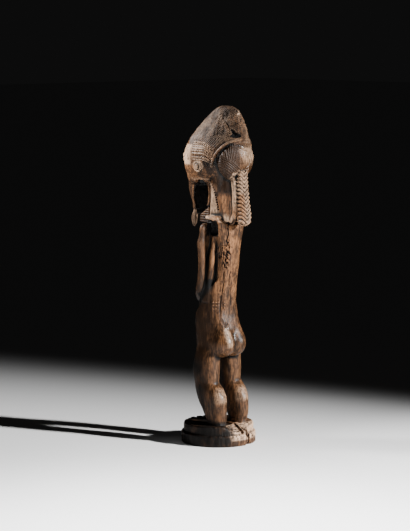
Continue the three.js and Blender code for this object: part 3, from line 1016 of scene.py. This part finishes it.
def crack_mask(x, y, z):
    """1 in the cracks of the back and the crest and in the neck's notches, 0 beside them."""
    wander = 0.7 * noise((x * 0, y * 0, z), 5, 41)
    broken = smooth_step(noise((x * 0, y * 0, z), 7, 42), -0.45, 0.15)
    on_back = smooth_step(y, 8, 14) * (z < 306)
    found = np.zeros_like(x)
    for notch_x, notch_y, notch_z in neck_row():
        across = abs(x) - notch_x * 1.05
        along = y - NECK_Y - (notch_y - NECK_Y) * 1.05
        gap = across ** 2 + along ** 2 + (z - notch_z) ** 2
        found = np.maximum(found, 1 - smooth_step(gap, 0.9, 2.6))
    for path in BACK_CRACKS:
        gap = path_distance(x + wander, z, path)
        found = np.maximum(found, (1 - smooth_step(gap, 0.0, 0.7)) * on_back * broken)
    on_crest = (x > 2) & (z > 412)
    crest = 1 - smooth_step(path_distance(y, z, CREST_CRACK), 0.0, 0.7)
    return np.maximum(found, crest * on_crest)


def cracks(x, y, z):
    """The cracks, pressed in along the grain."""
    return -1.1 * crack_mask(x, y, z)


def eaten_mask(x, y, z):
    """1 on the patches of the back where the wood is eaten away, and less on the chip below."""
    wobble = 1.8 * noise((x, y, z), 4, 51)

    def patch(centre_x, centre_z, width, height, rim):
        out = np.hypot((x - centre_x) / width, (z - centre_z) / height) * 5 + wobble
        return 1 - smooth_step(out, rim, 5.6)

    upper = patch(13.5, 260, 5.6, 9.5, 4.4)
    lower = patch(12, 245, 3.2, 9, 4.4)
    chip = 0.5 * patch(9.5, 160, 4.5, 4.0, 4.0)
    return np.maximum(np.maximum(upper, lower), chip) * smooth_step(y, 10, 16)


def eaten(x, y, z):
    """Ragged pits and fibres in the eaten patches."""
    fibres = abs(noise((x, y, z), (1.7, 1.7, 3.4), 52))
    return (0.5 - 2.6 * smooth_step(fibres, 0.12, 0.5)) * eaten_mask(x, y, z)


def heel_mask(x, y, z):
    """1 on the worn slope behind the heels."""
    return smooth_step(y, 22, 28) * (1 - smooth_step(x, 17, 23)) * window_of(z, 9, 26.2, 1.5)


def heel_wear(x, y, z):
    """Rough end grain on the worn slope, with short cuts across it."""
    cuts = -0.9 * smooth_step(abs(noise((x, y, z), (5, 1.5, 3), 61)), 0.35, 0.6)
    return (noise((x, y, z), 2.6, 62) * 0.6 + cuts) * heel_mask(x, y, z)


def disc_facets(x, y, z):
    """Flat knife cuts round the side of the disc and a nicked upper edge."""
    angle = np.arctan2(y, x)
    on_side = smooth_step(np.hypot(x, y), DISC_RADIUS - 2.5, DISC_RADIUS - 1.5) * (z < DISC_TOP + 1)
    cut = bands(angle * DISC_CUTS / (2 * math.pi) + 0.3 * noise((x, y, z), 30, 71)) * 0.35
    wavy = noise((x, y, z * 0), (9, 9, 9), 72) * 0.6 * smooth_step(z, DISC_TOP - 4, DISC_TOP)
    return (cut + wavy) * on_side


def tool_marks(x, y, z):
    """Shallow knife facets along the grain, calmer on the face, the buttocks and the bun."""
    calm = 1 - 0.7 * window_of(z, 345, 399, 4) * smooth_step(y, -8, -16)
    calm = calm * (1 - 0.75 * window_of(z, 118, 158, 8) * smooth_step(y, 10, 18))
    calm = calm * (1 - 0.6 * near(bun_form(), x, y, z, 3.0) * smooth_step(y, 28, 34))
    broad = noise((x, y, z), (7, 7, 16), 21) * 0.34
    facets = (abs(noise((x, y, z), (4.5, 4.5, 10), 22)) - 0.4) * 0.42
    fine = noise((x, y, z), (1.6, 1.6, 4.0), 23) * 0.14
    fibres = noise((x, y, z), (1.1, 1.1, 9.0), 24) * 0.12 * (z < 300)
    return (broad + facets + fine + fibres) * calm


RELIEFS = (
    crest_lines, crest_wear, bun_lines, braid_chevrons, temple_rows, cracks, eaten,
    heel_wear, disc_facets, tool_marks,
)


def carved_points(wood, points):
    """The points of the surface with the lines, marks and damage pressed in, and how far."""
    out = outward(wood, points)
    x, y, z = points.T
    push = sum(relief(x, y, z) for relief in RELIEFS)
    flat = smooth_step(z, 0.2, 1.2)
    moved = points + out * (push * flat)[:, None]
    low = np.array(CAD_LOW) / MM
    high = np.array(CAD_HIGH) / MM
    return np.clip(moved, low, high), push


# Finish.
class FinishNodes:
    """Adds a finish's nodes one by one; each call gives back the new node's result."""

    def __init__(self, tree):
        self.tree = tree
        self.place = tree.nodes.new("ShaderNodeTexCoord").outputs["Object"]

    def put(self, value, socket):
        """Links a result to a socket, or sets the socket to a number or a colour."""
        if hasattr(value, "is_linked"):
            self.tree.links.new(value, socket)
        elif isinstance(value, (int, float)):
            socket.default_value = value
        else:
            socket.default_value = (*value, 1.0)

    def attribute(self, name):
        """What give_wear_and_shading keeps under a name at each point."""
        node = self.tree.nodes.new("ShaderNodeAttribute")
        node.attribute_name = name
        return node.outputs["Fac"]

    def texture(self, size, detail, stretch=(1, 1, 1)):
        """Noise with lumps of a size in millimetres, longer along an axis with a small stretch."""
        mapping = self.tree.nodes.new("ShaderNodeMapping")
        mapping.inputs["Scale"].default_value = [v / (size * MM) for v in stretch]
        self.put(self.place, mapping.inputs["Vector"])
        node = self.tree.nodes.new("ShaderNodeTexNoise")
        node.inputs["Scale"].default_value = 1.0
        node.inputs["Detail"].default_value = detail
        node.inputs["Roughness"].default_value = 0.6
        self.put(mapping.outputs["Vector"], node.inputs["Vector"])
        return node.outputs["Fac"]

    def ramp(self, value, low, high, to_low=0.0, to_high=1.0):
        """A smooth change from to_low to to_high while the value goes from low to high."""
        node = self.tree.nodes.new("ShaderNodeMapRange")
        node.interpolation_type = "SMOOTHSTEP"
        node.inputs["From Min"].default_value = low
        node.inputs["From Max"].default_value = high
        node.inputs["To Min"].default_value = to_low
        node.inputs["To Max"].default_value = to_high
        self.put(value, node.inputs["Value"])
        return node.outputs["Result"]

    def reckon(self, kind, a, b):
        """Two values reckoned together, in a way that Blender names."""
        node = self.tree.nodes.new("ShaderNodeMath")
        node.operation = kind
        self.put(a, node.inputs[0])
        self.put(b, node.inputs[1])
        return node.outputs["Value"]

    def plus(self, a, b):
        """The two values added."""
        return self.reckon("ADD", a, b)

    def minus(self, a, b):
        """The second value taken from the first."""
        return self.reckon("SUBTRACT", a, b)

    def times(self, a, b):
        """The two values multiplied."""
        return self.reckon("MULTIPLY", a, b)

    def mix(self, under, over, share):
        """One colour laid over another, by a share from 0 to 1."""
        node = self.tree.nodes.new("ShaderNodeMix")
        node.data_type = "RGBA"
        self.put(share, node.inputs["Factor"])
        self.put(under, node.inputs[6])
        self.put(over, node.inputs[7])
        return node.outputs[2]


def wood_finish(settings):
    """Dark patinated hardwood: brown, rubbed paler on what stands proud, dark in the hollows,
    with painted shade and painted highlights laid in its colour.
    """
    material = bpy.data.materials.new("Patinated hardwood and painted shade")
    material.use_nodes = True
    tree = material.node_tree
    tree.nodes.clear()
    output = tree.nodes.new("ShaderNodeOutputMaterial")
    shader = tree.nodes.new("ShaderNodeBsdfPrincipled")
    shader.inputs["Specular IOR Level"].default_value = 0.14
    nodes = FinishNodes(tree)
    nodes.put(shader.outputs["BSDF"], output.inputs["Surface"])
    # These hold wear and dirt, and the painted shade and painted highlights as well.
    wear = {name: nodes.attribute(name) for name in WEAR_AND_SHADING}
    grain = nodes.texture(1.7, 4.0, (1, 1, 0.10))
    speck = nodes.texture(1.1, 3.0)
    nodes.put(wood_colour(nodes, settings, wear, grain, speck), shader.inputs["Base Color"])
    nodes.put(wood_roughness(nodes, wear, speck), shader.inputs["Roughness"])
    bump = tree.nodes.new("ShaderNodeBump")
    bump.inputs["Strength"].default_value = 0.55
    bump.inputs["Distance"].default_value = 0.0005
    nodes.put(nodes.plus(grain, nodes.times(speck, 0.6)), bump.inputs["Height"])
    nodes.put(bump.outputs["Normal"], shader.inputs["Normal"])
    return material


def wood_colour(nodes, settings, wear, grain, speck):
    """Brown wood with layers over it: rubbed, patina with painted shade, worn with painted
    highlights, bare, stained, dry, and last black dirt in grooves and painted shade in hollows.
    """
    ramp, times = nodes.ramp, nodes.times
    blotch = nodes.texture(13, 3.0, (1, 1, 0.45))
    cloud = nodes.texture(30, 2.0)
    fleck = nodes.texture(3.2, 4.0, (1, 1, 0.55))
    kept = ramp(nodes.minus(wear["patina"], times(grain, 0.25)), 0.0, 0.7)
    uneven = nodes.plus(blotch, times(grain, 0.5))
    layers = (
        (settings.rubbed_wood, times(ramp(grain, 0.46, 0.64), 0.45)),
        (settings.rubbed_wood, times(ramp(wear["proud"], 0.06, 0.5), 0.65)),
        # Patina, and painted shade on the front, over the ledge, on the base, behind the ears and
        # under the bun.
        (settings.dark_wood, times(kept, 0.85)),
        # Rubbed wood, and painted highlights.
        (settings.worn_and_highlight_wood, times(wear["worn"], ramp(speck, 0.28, 0.55, 0.45, 1.0))),
        (settings.bare_wood, times(wear["bare"], ramp(uneven, 0.55, 0.95))),
        (settings.dark_wood, times(ramp(cloud, 0.55, 0.72), 0.5)),
        (settings.dry_wood, times(wear["dry"], ramp(fleck, 0.35, 0.60, 0.05, 0.9))),
        (settings.dark_wood, times(wear["dry"], ramp(blotch, 0.45, 0.60, 0.0, 0.85))),
        (settings.dark_wood, ramp(fleck, 0.48, 0.66, 0.0, 0.75)),
        (settings.dark_wood, ramp(grain, 0.36, 0.50, 0.60, 0.0)),
        # Dirt in the grooves, and painted shade on the shaded sides.
        (settings.soot_and_shade, ramp(wear["hollow"], 0.06, 0.50, 0.0, 0.92)),
        # Painted shade: black in the creases and the darkest hollows.
        (settings.soot_and_shade, ramp(wear["deep"], 0.10, BLACK_DEPTH, 0.0, 1.0)),
        (settings.soot_and_shade, times(wear["crack"], 0.95)),
    )
    colour = nodes.mix(settings.dark_wood, settings.brown_wood, ramp(blotch, 0.36, 0.64))
    for over, share in layers:
        colour = nodes.mix(colour, over, share)
    return colour


def wood_roughness(nodes, wear, speck):
    """How rough the wood is: less where polished and in the throat, more where dry, dirty or
    painted with shade.
    """
    speckled = nodes.ramp(speck, 0.3, 0.7, 0.40, 0.56)
    rough = nodes.minus(speckled, nodes.times(wear["polish"], 0.30))
    for name, more in (("dry", 0.22), ("bare", 0.12), ("hollow", 0.2), ("crack", 0.3)):
        rough = nodes.plus(rough, nodes.times(wear[name], more))
    return nodes.times(rough, nodes.ramp(wear["deep"], BLACK_DEPTH, 1.0, 1.0, 0.2))


def plain_finish(name, colour, roughness):
    """A matt finish of one colour, for the studio's floor."""
    material = bpy.data.materials.new(name)
    material.use_nodes = True
    shader = material.node_tree.nodes["Principled BSDF"]
    shader.inputs["Base Color"].default_value = (*colour, 1)
    shader.inputs["Roughness"].default_value = roughness
    return material


def new_mesh_object(name, points, faces):
    """A mesh object from points in metres and faces of one size."""
    mesh = bpy.data.meshes.new(name)
    faces = np.asarray(faces)
    mesh.vertices.add(len(points))
    mesh.vertices.foreach_set("co", np.asarray(points, np.float32).ravel())
    mesh.loops.add(faces.size)
    mesh.loops.foreach_set("vertex_index", faces.astype(np.int32).ravel())
    mesh.polygons.add(len(faces))
    starts = np.arange(0, faces.size, faces.shape[1], dtype=np.int32)
    mesh.polygons.foreach_set("loop_start", starts)
    mesh.update(calc_edges=True)
    mesh.validate()
    mesh.polygons.foreach_set("use_smooth", np.ones(len(mesh.polygons), bool))
    made = bpy.data.objects.new(name, mesh)
    bpy.context.scene.collection.objects.link(made)
    return made


def give_wear_and_shading(mesh, wood, points, push, step):
    """Keeps at each point of the mesh, under the names in WEAR_AND_SHADING, what the finish reads:
    wear and dirt, and where painted shade and painted highlights lie.
    """
    x, y, z = points.T
    fine = sample(wood, soften(wood.depth, max(round(GROOVE_REACH / step), 1)), points)
    wide = sample(wood, soften(wood.depth, max(round(CREASE_REACH / step), 2)), points)
    grooves = np.clip(-fine, 0, 1) + np.clip(-0.55 * (push + 0.15), 0, 0.5)
    # Painted shade in the wide creases, more where the wood closes in round a point; none on the
    # base.
    creases = np.clip(-wide, 0, MATT_DEPTH) * (z > FEET_TOP + 4)
    off_bun = smooth_step(bun_form().distance(x, y, z), 2.0, 4.0)
    found = {
        # hollow: dirt in grooves plus painted shade; deep: painted shade; patina: patina plus
        # painted shade; worn: rubbed wood plus painted highlights.
        "hollow": grooves + painted_shade_mask(x, y, z),
        "proud": np.clip(fine, 0, 1) + np.clip(0.4 * push, 0, 0.3),
        "deep": np.maximum(creases, pit_shade_mask(x, y, z)),
        "dry": smooth_step(z + 0.35 * y, 396, 420) * off_bun,
        "bare": bare_mask(x, y, z),
        "crack": crack_mask(x, y, z),
        "polish": polish_mask(x, y, z),
        "patina": patina_and_shade_mask(x, y, z),
        "worn": wear_and_highlight_mask(x, y, z),
    }
    for name in WEAR_AND_SHADING:
        kept = mesh.attributes.new(name, "FLOAT", "POINT")
        kept.data.foreach_set("value", np.ascontiguousarray(found[name], np.float32))


def above_ledge(y, z):
    """How far a place lies above the sloping ledge under the forearms."""
    return (z - LEDGE_Z - LEDGE_SLOPE * y) / LEDGE_LENGTH


def bare_mask(x, y, z):
    """How much the patina is worn through: on the back, the nape, the jaw and the crest."""
    back = window_of(z, 205, 300, 12) * smooth_step(y, 8, 14)
    nape = window_of(z, 304, 334, 3) * smooth_step(y, 11, 17) * smooth_step(x, 0, 4)
    rough_crest = window_of(z, 404, 434, 4) * smooth_step(y + 0.25 * z, 139, 145)
    jaw = 0.75 * window_of(z, 350, 371, 2) * (1 - smooth_step(y, -12, 0))
    bare = np.maximum.reduce([back * 0.7, nape, jaw, rough_crest * 0.8])
    return np.maximum(bare, eaten_mask(x, y, z) * 0.8)


def polish_mask(x, y, z):
    """How much handling has polished: the bun but for its left side, and the places in POLISHED."""
    polish = 0.9 * near(bun_form(), x, y, z, 3.0) * (1 - smooth_step(x, 2, 12))
    for side, share in zip(SIDES, POLISH_SHARES):
        for centre, size in POLISHED:
            form = ball((centre[0] * side, *centre[1:]), size)
            polish = np.maximum(polish, share * (1 - smooth_step(form.distance(x, y, z), 0, 4)))
    return polish


def patina_and_shade_mask(x, y, z):
    """How whole the dark patina is, with painted shade laid into it: most on the front and the
    sides below the chest.
    """
    edge = 3.0 + 0.02 * z + 7 * noise((x, y, z), (9, 9, 16), 81)
    ahead = 1 - smooth_step(y, edge - 6, edge + 13)
    # Painted shade on the front and sides below the chest, which face away from the key light.
    below = window_of(z, -5, 196, 10) * ahead * (0.8 + 0.6 * noise((x, y, z), (4, 4, 8), 84))
    # Painted shadow above the ledge, under the forearms.
    forearm = window_of(above_ledge(y, z), -1.0, 9, 5) * smooth_step(abs(x), 12, 18)
    forearm = forearm * (y < 16) * (z < 232)
    # Painted shade on the base's left side.
    base = window_of(z, -2, 31, 2) * smooth_step(x - 0.4 * y, -22, 8)
    arm = 0.35 * window_of(z, 200, 300, 12) * smooth_step(abs(x), 23.5, 26)
    # Painted shade on the front of the chest.
    belly = 0.8 * window_of(z, 205, 300, 10) * (1 - smooth_step(y, -14, -6))
    bun = 0.85 * near(bun_form(), x, y, z, 2.5) * smooth_step(abs(x + 4), 2, 16)
    # Painted shade behind the ears.
    behind_ear = window_of(z, 358, 376, 6) * window_of(y, 6, 26, 4) * (abs(x) > 22)
    crest_foot = 0.7 * window_of(z, 404, 416, 5) * window_of(y, 20, 34, 6) * (abs(x) > 12)
    # Painted shadow under the bun.
    nape = 0.9 * window_of(z, 334, 356, 5) * window_of(y, 16, 36, 4)
    return np.maximum.reduce([below, arm, belly, bun, behind_ear, crest_foot, nape, forearm, base])


def painted_shade_mask(x, y, z):
    """How much painted shade lies on the front of the legs and hips, the base's left, under the
    jaw, behind the ears and under the bun, and how much darker the crest is; in patches.
    """
    broad = noise((x, y, z), (7, 7, 13), 82)
    small = noise((x, y, z), (2.6, 2.6, 5), 83)
    patchy = 0.8 + 0.5 * broad + 0.5 * small
    # Painted shade: the front of the hips and legs faces away from the key light.
    side = 1 - smooth_step(y, -4, 14)
    hips = 0.12 * window_of(z, 140, 196, 14)
    legs = (0.44 * window_of(z, 26, 104, 22) + hips) * side
    # Painted shade on the base's left, under the jaw, behind the ears and under the bun; the crest
    # is only darkened.
    base = 0.50 * window_of(z, -2, 30, 2) * smooth_step(x - 0.5 * y, -22, 6)
    jaw = 0.22 * window_of(z, 350, 366, 4) * window_of(y, -6, 26, 6)
    behind_ear = 0.30 * window_of(z, 356, 376, 6) * window_of(y, 5, 26, 4) * (abs(x) > 22)
    under_bun = 0.30 * window_of(z, 333, 350, 5) * window_of(y, 14, 36, 4)
    crest = 0.12 * window_of(z, 403, 430, 8) * window_of(y, -40, 40, 10)
    return np.maximum.reduce([legs, base, jaw, behind_ear, under_bun, crest]) * patchy


def wear_and_highlight_mask(x, y, z):
    """How pale the wood is: rubbed by hands on the ears, braid, locks, beads, lip, heels and tuft,
    and painted highlights on the forehead, neck, shoulders, knob, bun, calves and buttock.
    """
    # Painted highlight on the forehead.
    forehead = window_of(z, 372.5, 398, 1.5) * (1 - smooth_step(y, -26, -12))
    ear = near(ball((EAR_X, EAR_Y, EAR_Z), (4, 8, 8)), abs(x), y, z, 1.5)
    braid = near(column(BRAID_SECTIONS), x, y, z, 2.5)
    locks = window_of(z, 303, 362, 3) * window_of(y, 35, 46, 2) * window_of(abs(x), 6, 14, 1)
    angle = np.arctan2(y - 9.5, abs(x))
    # Rubbed wood and a painted highlight on the band down the neck.
    neck = window_of(z, 306, 352, 4) * window_of(angle, -1.1, between(NECK_ROW, z, 1), 0.06)
    # Rubbed wood and a painted highlight on the back of the calves.
    calf = window_of(z, 60, 82, 6) * smooth_step(y, 20, 26)
    # Painted highlight on the shoulder shelves.
    shelf = window_of(z, 299, 306, 2) * (y > -6) * (abs(x) > 12)
    beads = 0.6 * np.clip(1.4 * temple_rows(x, y, z), 0, 1)
    # Painted highlight on the knob of the crest.
    knob = near(ball(*CREST_KNOB), x, y, z, 1.5)
    lip = near(ball((12.5, 39.5, 419), (4, 4, 3)), x, y, z, 2.0) * 0.7
    # Painted highlight on the bun's right side.
    on_bun = 0.5 * near(bun_form(), x, y, z, 3.0) * (1 - smooth_step(x, -8, 12))
    on_bun = on_bun * window_of(z, 384, 390, 16)
    heel = heel_mask(x, y, z)
    tuft = 0.25 * near(ball((0, -46, 298), (6, 7, 13)), x, y, z, 2.0)
    # Painted highlight on the near buttock.
    buttock = 0.55 * near(ball((12, 32, 144), (2.5, 12, 9)), x, y, z, 4.5)
    return np.maximum.reduce([
        forehead, 0.8 * ear, 0.5 * braid, 0.6 * locks, 0.65 * neck, 0.3 * calf, 0.8 * shelf, heel,
        beads, knob, lip, on_bun, tuft, buttock,
    ])


def throat_mask(x, y, z):
    """1 where painted shade is blackest: the dark oval between beard, jaw and neck, and beside the
    ringed block below it.
    """
    oval = ball(*THROAT_OVAL).distance(x, y, z)
    low_front = (z < 316) & (y > -40)
    throat = np.maximum(1 - smooth_step(oval, -0.6, 0.6), low_front) * window_of(y, -46, -1, 1.0)
    throat = throat * window_of(z, 298, 354, 2)
    below_top = z < RINGED_TOP_Z + RINGED_TOP_SLOPE * (y - RINGED_TOP_Y)
    ringed = (abs(x) > 3.2) & below_top & (y > -31.5)
    neck = np.hypot(x, y - 9) < 17.6
    return throat * (abs(x) < 11) * ~ringed * ~neck


def pit_shade_mask(x, y, z):
    """How much painted shade darkens the darkest hollows: 1 in the throat, and less in four others.
    """
    side_x = abs(x)
    # Painted shade in the recess under each shoulder, the trough by the arm, the crest's hole and
    # the wedge over the ledge.
    recess = window_of(z, 279, 300.3, 1.0) * window_of(y, -3, 20.5, 0.7)
    recess = recess * window_of(side_x, 13, 25, 1.0)
    trough = window_of(z, 206, 290, 8) * (y < 1.5 - 0.03 * (z - 206))
    trough = trough * window_of(side_x, 17, 26.3, 0.7) * smooth_step(y, -8, -6)
    hole = np.zeros_like(x)
    for path in CREST_HOLE:
        hole = np.maximum(hole, 1 - smooth_step(limb(path).distance(x, y, z), 0.2, 0.8))
    wedge = window_of(above_ledge(y, z), 0.3, 8.5, 3) * window_of(side_x, 14, 28, 2)
    wedge = wedge * window_of(y, -12, 13, 3) * (z < 222) * (z > 185)
    matt = np.maximum.reduce([recess, trough, hole, wedge])
    return np.maximum(throat_mask(x, y, z), MATT_DEPTH * matt)


def lighten(made, triangles):
    """Brings a mesh down to a number of triangles, keeping its detail."""
    now = sum(len(face.vertices) - 2 for face in made.data.polygons)
    if now <= triangles:
        return
    reducer = made.modifiers.new("Lighten", "DECIMATE")
    reducer.ratio = triangles / now
    reducer.use_collapse_triangulate = True
    scene_state = bpy.context.evaluated_depsgraph_get()
    result = bpy.data.meshes.new_from_object(made.evaluated_get(scene_state))
    made.modifiers.clear()
    made.data = result


# Settings that a user would change.
class CarvingSettings(bpy.types.PropertyGroup):
    """Sizes of the carved mesh and the colours of its wood."""

    fine_step: bpy.props.FloatProperty(
        name="Fine Step",
        description="Spacing of the carved mesh on the head, in millimetres",
        default=0.65,
        min=0.4,
        max=3.0,
    )
    coarse_step: bpy.props.FloatProperty(
        name="Coarse Step",
        description="Upright spacing of the carved mesh below the head, in millimetres",
        default=0.9,
        min=0.4,
        max=3.0,
    )
    triangles: bpy.props.IntProperty(
        name="Triangles",
        description="Most triangles that the figure may have",
        default=196000,
        min=10000,
        max=199000,
    )
    # Also laid as painted shade on the front, the shaded sides and under the bun.
    dark_wood: bpy.props.FloatVectorProperty(
        name="Dark Wood",
        description="Colour of the patina",
        subtype="COLOR",
        default=(0.016, 0.0075, 0.0034),
        min=0.0,
        max=1.0,
    )
    brown_wood: bpy.props.FloatVectorProperty(
        name="Brown Wood",
        description="Colour of the wood between patina and wear",
        subtype="COLOR",
        default=(0.073, 0.0325, 0.0138),
        min=0.0,
        max=1.0,
    )
    rubbed_wood: bpy.props.FloatVectorProperty(
        name="Rubbed Wood",
        description="Colour of what stands proud and is rubbed",
        subtype="COLOR",
        default=(0.17, 0.083, 0.038),
        min=0.0,
        max=1.0,
    )
    # Also the colour of the painted highlights.
    worn_and_highlight_wood: bpy.props.FloatVectorProperty(
        name="Worn and Highlight Wood",
        description="Colour of what hands have worn smooth",
        subtype="COLOR",
        default=(0.44, 0.29, 0.19),
        min=0.0,
        max=1.0,
    )
    bare_wood: bpy.props.FloatVectorProperty(
        name="Bare Wood",
        description="Colour where the patina is worn through",
        subtype="COLOR",
        default=(0.195, 0.087, 0.036),
        min=0.0,
        max=1.0,
    )
    dry_wood: bpy.props.FloatVectorProperty(
        name="Dry Wood",
        description="Colour of the dry, greyish crest",
        subtype="COLOR",
        default=(0.125, 0.082, 0.053),
        min=0.0,
        max=1.0,
    )
    # Also the colour of the painted shade in creases, dark hollows and on the shaded sides.
    soot_and_shade: bpy.props.FloatVectorProperty(
        name="Soot and Shade",
        description="Colour of the dirt in grooves and hollows",
        subtype="COLOR",
        default=(0.0008, 0.0006, 0.0005),
        min=0.0,
        max=1.0,
    )


class StudioSettings(bpy.types.PropertyGroup):
    """The camera's place and the strength of the lights."""

    azimuth: bpy.props.FloatProperty(
        name="Azimuth",
        description="Direction of the camera round the figure",
        subtype="ANGLE",
        default=math.radians(136),
    )
    distance: bpy.props.FloatProperty(
        name="Distance",
        description="Level distance of the camera from the figure's axis",
        unit="LENGTH",
        default=2.78,
        min=1.0,
    )
    height: bpy.props.FloatProperty(
        name="Height",
        description="Height of the camera",
        unit="LENGTH",
        default=0.566,
    )
    aim_height: bpy.props.FloatProperty(
        name="Aim Height",
        description="Height that the camera looks at",
        unit="LENGTH",
        default=0.237,
    )
    lens: bpy.props.FloatProperty(
        name="Lens",
        description="Focal length in millimetres for a picture 36 mm on its long side",
        default=142.45,
        min=20.0,
    )
    key_power: bpy.props.FloatProperty(
        name="Key Light",
        description="Power of the light from the right, in watts",
        default=1150.0,
        min=0.0,
    )
    side_power: bpy.props.FloatProperty(
        name="Side Light",
        description="Power of the light from the upper left, in watts",
        default=32.0,
        min=0.0,
    )
    floor_power: bpy.props.FloatProperty(
        name="Floor Light",
        description="Power of the light over the floor in front, in watts",
        default=250.0,
        min=0.0,
    )
    nape_power: bpy.props.FloatProperty(
        name="Nape Light",
        description="Power of the narrow light on the nape and the shoulder, in watts",
        default=34.0,
        min=0.0,
    )
    room_light: bpy.props.FloatProperty(
        name="Room Light",
        description="Strength of the light from all round",
        default=0.006,
        min=0.0,
    )


class CARVING_OT_figure(bpy.types.Operator):
    """Carve the figure with its base from one block"""

    bl_idname = "carving.figure"
    bl_label = "Carve Figure"

    def execute(self, context):
        settings = context.scene.carving
        step = settings.fine_step * 1
        coarse = settings.coarse_step * 1
        margin = 2 * step + 1
        low = np.array(CAD_LOW) / MM - margin
        high = np.array(CAD_HIGH) / MM + margin
        wood = Block(low, high, step, coarse, SHOULDER_Z - 4)
        carve_figure(wood)
        points, faces = take_surface(wood)
        moved, push = carved_points(wood, points)
        made = new_mesh_object("Baule_figure", moved * MM, faces)
        give_wear_and_shading(made.data, wood, points, push, step)
        lighten(made, settings.triangles)
        made.data.materials.append(wood_finish(settings))
        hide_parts(NODE)
        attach(made, BODY)
        return {"FINISHED"}


class CARVING_OT_studio(bpy.types.Operator):
    """Set up the pale floor, the lights and the camera"""

    bl_idname = "carving.studio"
    bl_label = "Set Up Studio"

    def execute(self, context):
        settings = context.scene.studio
        lay_floor()
        hang_lights(settings)
        place_camera(settings)
        return {"FINISHED"}


def lay_floor():
    """A plain pale floor, far wider than the picture."""
    half = 12.0
    points = [(-half, -half, 0), (half, -half, 0), (half, half, 0), (-half, half, 0)]
    floor = new_mesh_object("Studio_floor", points, [(0, 1, 2, 3)])
    floor.data.materials.append(plain_finish("Pale paper", (0.80, 0.80, 0.80), 0.9))


def hang_lights(settings):
    """A key from the right, small lamps from the upper left, over the floor and on the nape."""
    toward = Vector((math.sin(settings.azimuth), -math.cos(settings.azimuth), 0))
    right = Vector((-toward.y, toward.x, 0))

    def spot(across, ahead, high):
        """A place so far to the right of the figure's axis, toward the camera and up."""
        return right * across + toward * ahead + Vector((0, 0, high))

    foreground = spot(0.11, 0.48, 0.12)
    floor = spot(0, 0.66, 0)
    head = Vector((0, -0.01, 0.39))
    nape = Vector((0.012, 0.015, 0.318))
    hang_light("Key_light", spot(2.0108, 0.8932, 1.04), foreground, settings.key_power, 0.06, 42.5)
    hang_light("Side_light", spot(-0.36, -0.06, 0.60), head, settings.side_power, 0.04, 46)
    hang_light("Floor_light", spot(0, 0.75, 1.2), floor, settings.floor_power, 0.1, 54)
    hang_light("Nape_light", spot(-0.30, 0.90, 0.21), nape, settings.nape_power, 0.05, 12)
    world = bpy.data.worlds.new("Studio")
    world.use_nodes = True
    sky = world.node_tree.nodes["Background"]
    sky.inputs["Color"].default_value = (1.0, 1.0, 1.0, 1.0)
    sky.inputs["Strength"].default_value = settings.room_light
    bpy.context.scene.world = world


def hang_light(name, place, aim, power, radius, beam):
    """A spot lamp that faces a point, with its radius and its soft-edged beam in degrees."""
    lamp = bpy.data.lights.new(name, "SPOT")
    lamp.energy = power
    lamp.shadow_soft_size = radius
    lamp.spot_size = math.radians(beam)
    lamp.spot_blend = 1.0
    holder = bpy.data.objects.new(name, lamp)
    holder.location = place
    holder.rotation_euler = (Vector(aim) - place).to_track_quat("-Z", "Y").to_euler()
    bpy.context.scene.collection.objects.link(holder)


def place_camera(settings):
    """The camera, behind the figure and to its left."""
    lens = bpy.data.cameras.new("Camera")
    lens.sensor_fit = "AUTO"
    lens.sensor_width = 36
    lens.lens = settings.lens
    lens.shift_x = PICTURE_SHIFT / PICTURE_HEIGHT
    lens.clip_start = 0.05
    lens.clip_end = 50
    camera = bpy.data.objects.new("Camera", lens)
    x = math.sin(settings.azimuth) * settings.distance
    y = -math.cos(settings.azimuth) * settings.distance
    camera.location = (x, y, settings.height)
    look = Vector((0, 0, settings.aim_height)) - camera.location
    camera.rotation_euler = look.to_track_quat("-Z", "Y").to_euler()
    bpy.context.scene.collection.objects.link(camera)
    bpy.context.scene.camera = camera


class CARVING_PT_panel(bpy.types.Panel):
    """The figure's steps and settings"""

    bl_idname = "CARVING_PT_panel"
    bl_label = "Baule Figure"
    bl_space_type = "VIEW_3D"
    bl_region_type = "UI"
    bl_category = "Carving"

    def draw(self, context):
        layout = self.layout
        for group in (context.scene.carving, context.scene.studio):
            for name in group.bl_rna.properties.keys():
                if name not in {"rna_type", "name"}:
                    layout.prop(group, name)
        for step in (CARVING_OT_figure, CARVING_OT_studio):
            layout.operator(step.bl_idname)


CLASSES = (CarvingSettings, StudioSettings, CARVING_OT_figure, CARVING_OT_studio, CARVING_PT_panel)


def register():
    for kind in CLASSES:
        bpy.utils.register_class(kind)
    bpy.types.Scene.carving = bpy.props.PointerProperty(type=CarvingSettings)
    bpy.types.Scene.studio = bpy.props.PointerProperty(type=StudioSettings)


def unregister():
    del bpy.types.Scene.studio
    del bpy.types.Scene.carving
    for kind in reversed(CLASSES):
        bpy.utils.unregister_class(kind)


def main():
    register()
    bpy.ops.carving.figure()
    bpy.ops.carving.studio()
    bpy.context.view_layer.update()


if __name__ == "__main__":
    main()
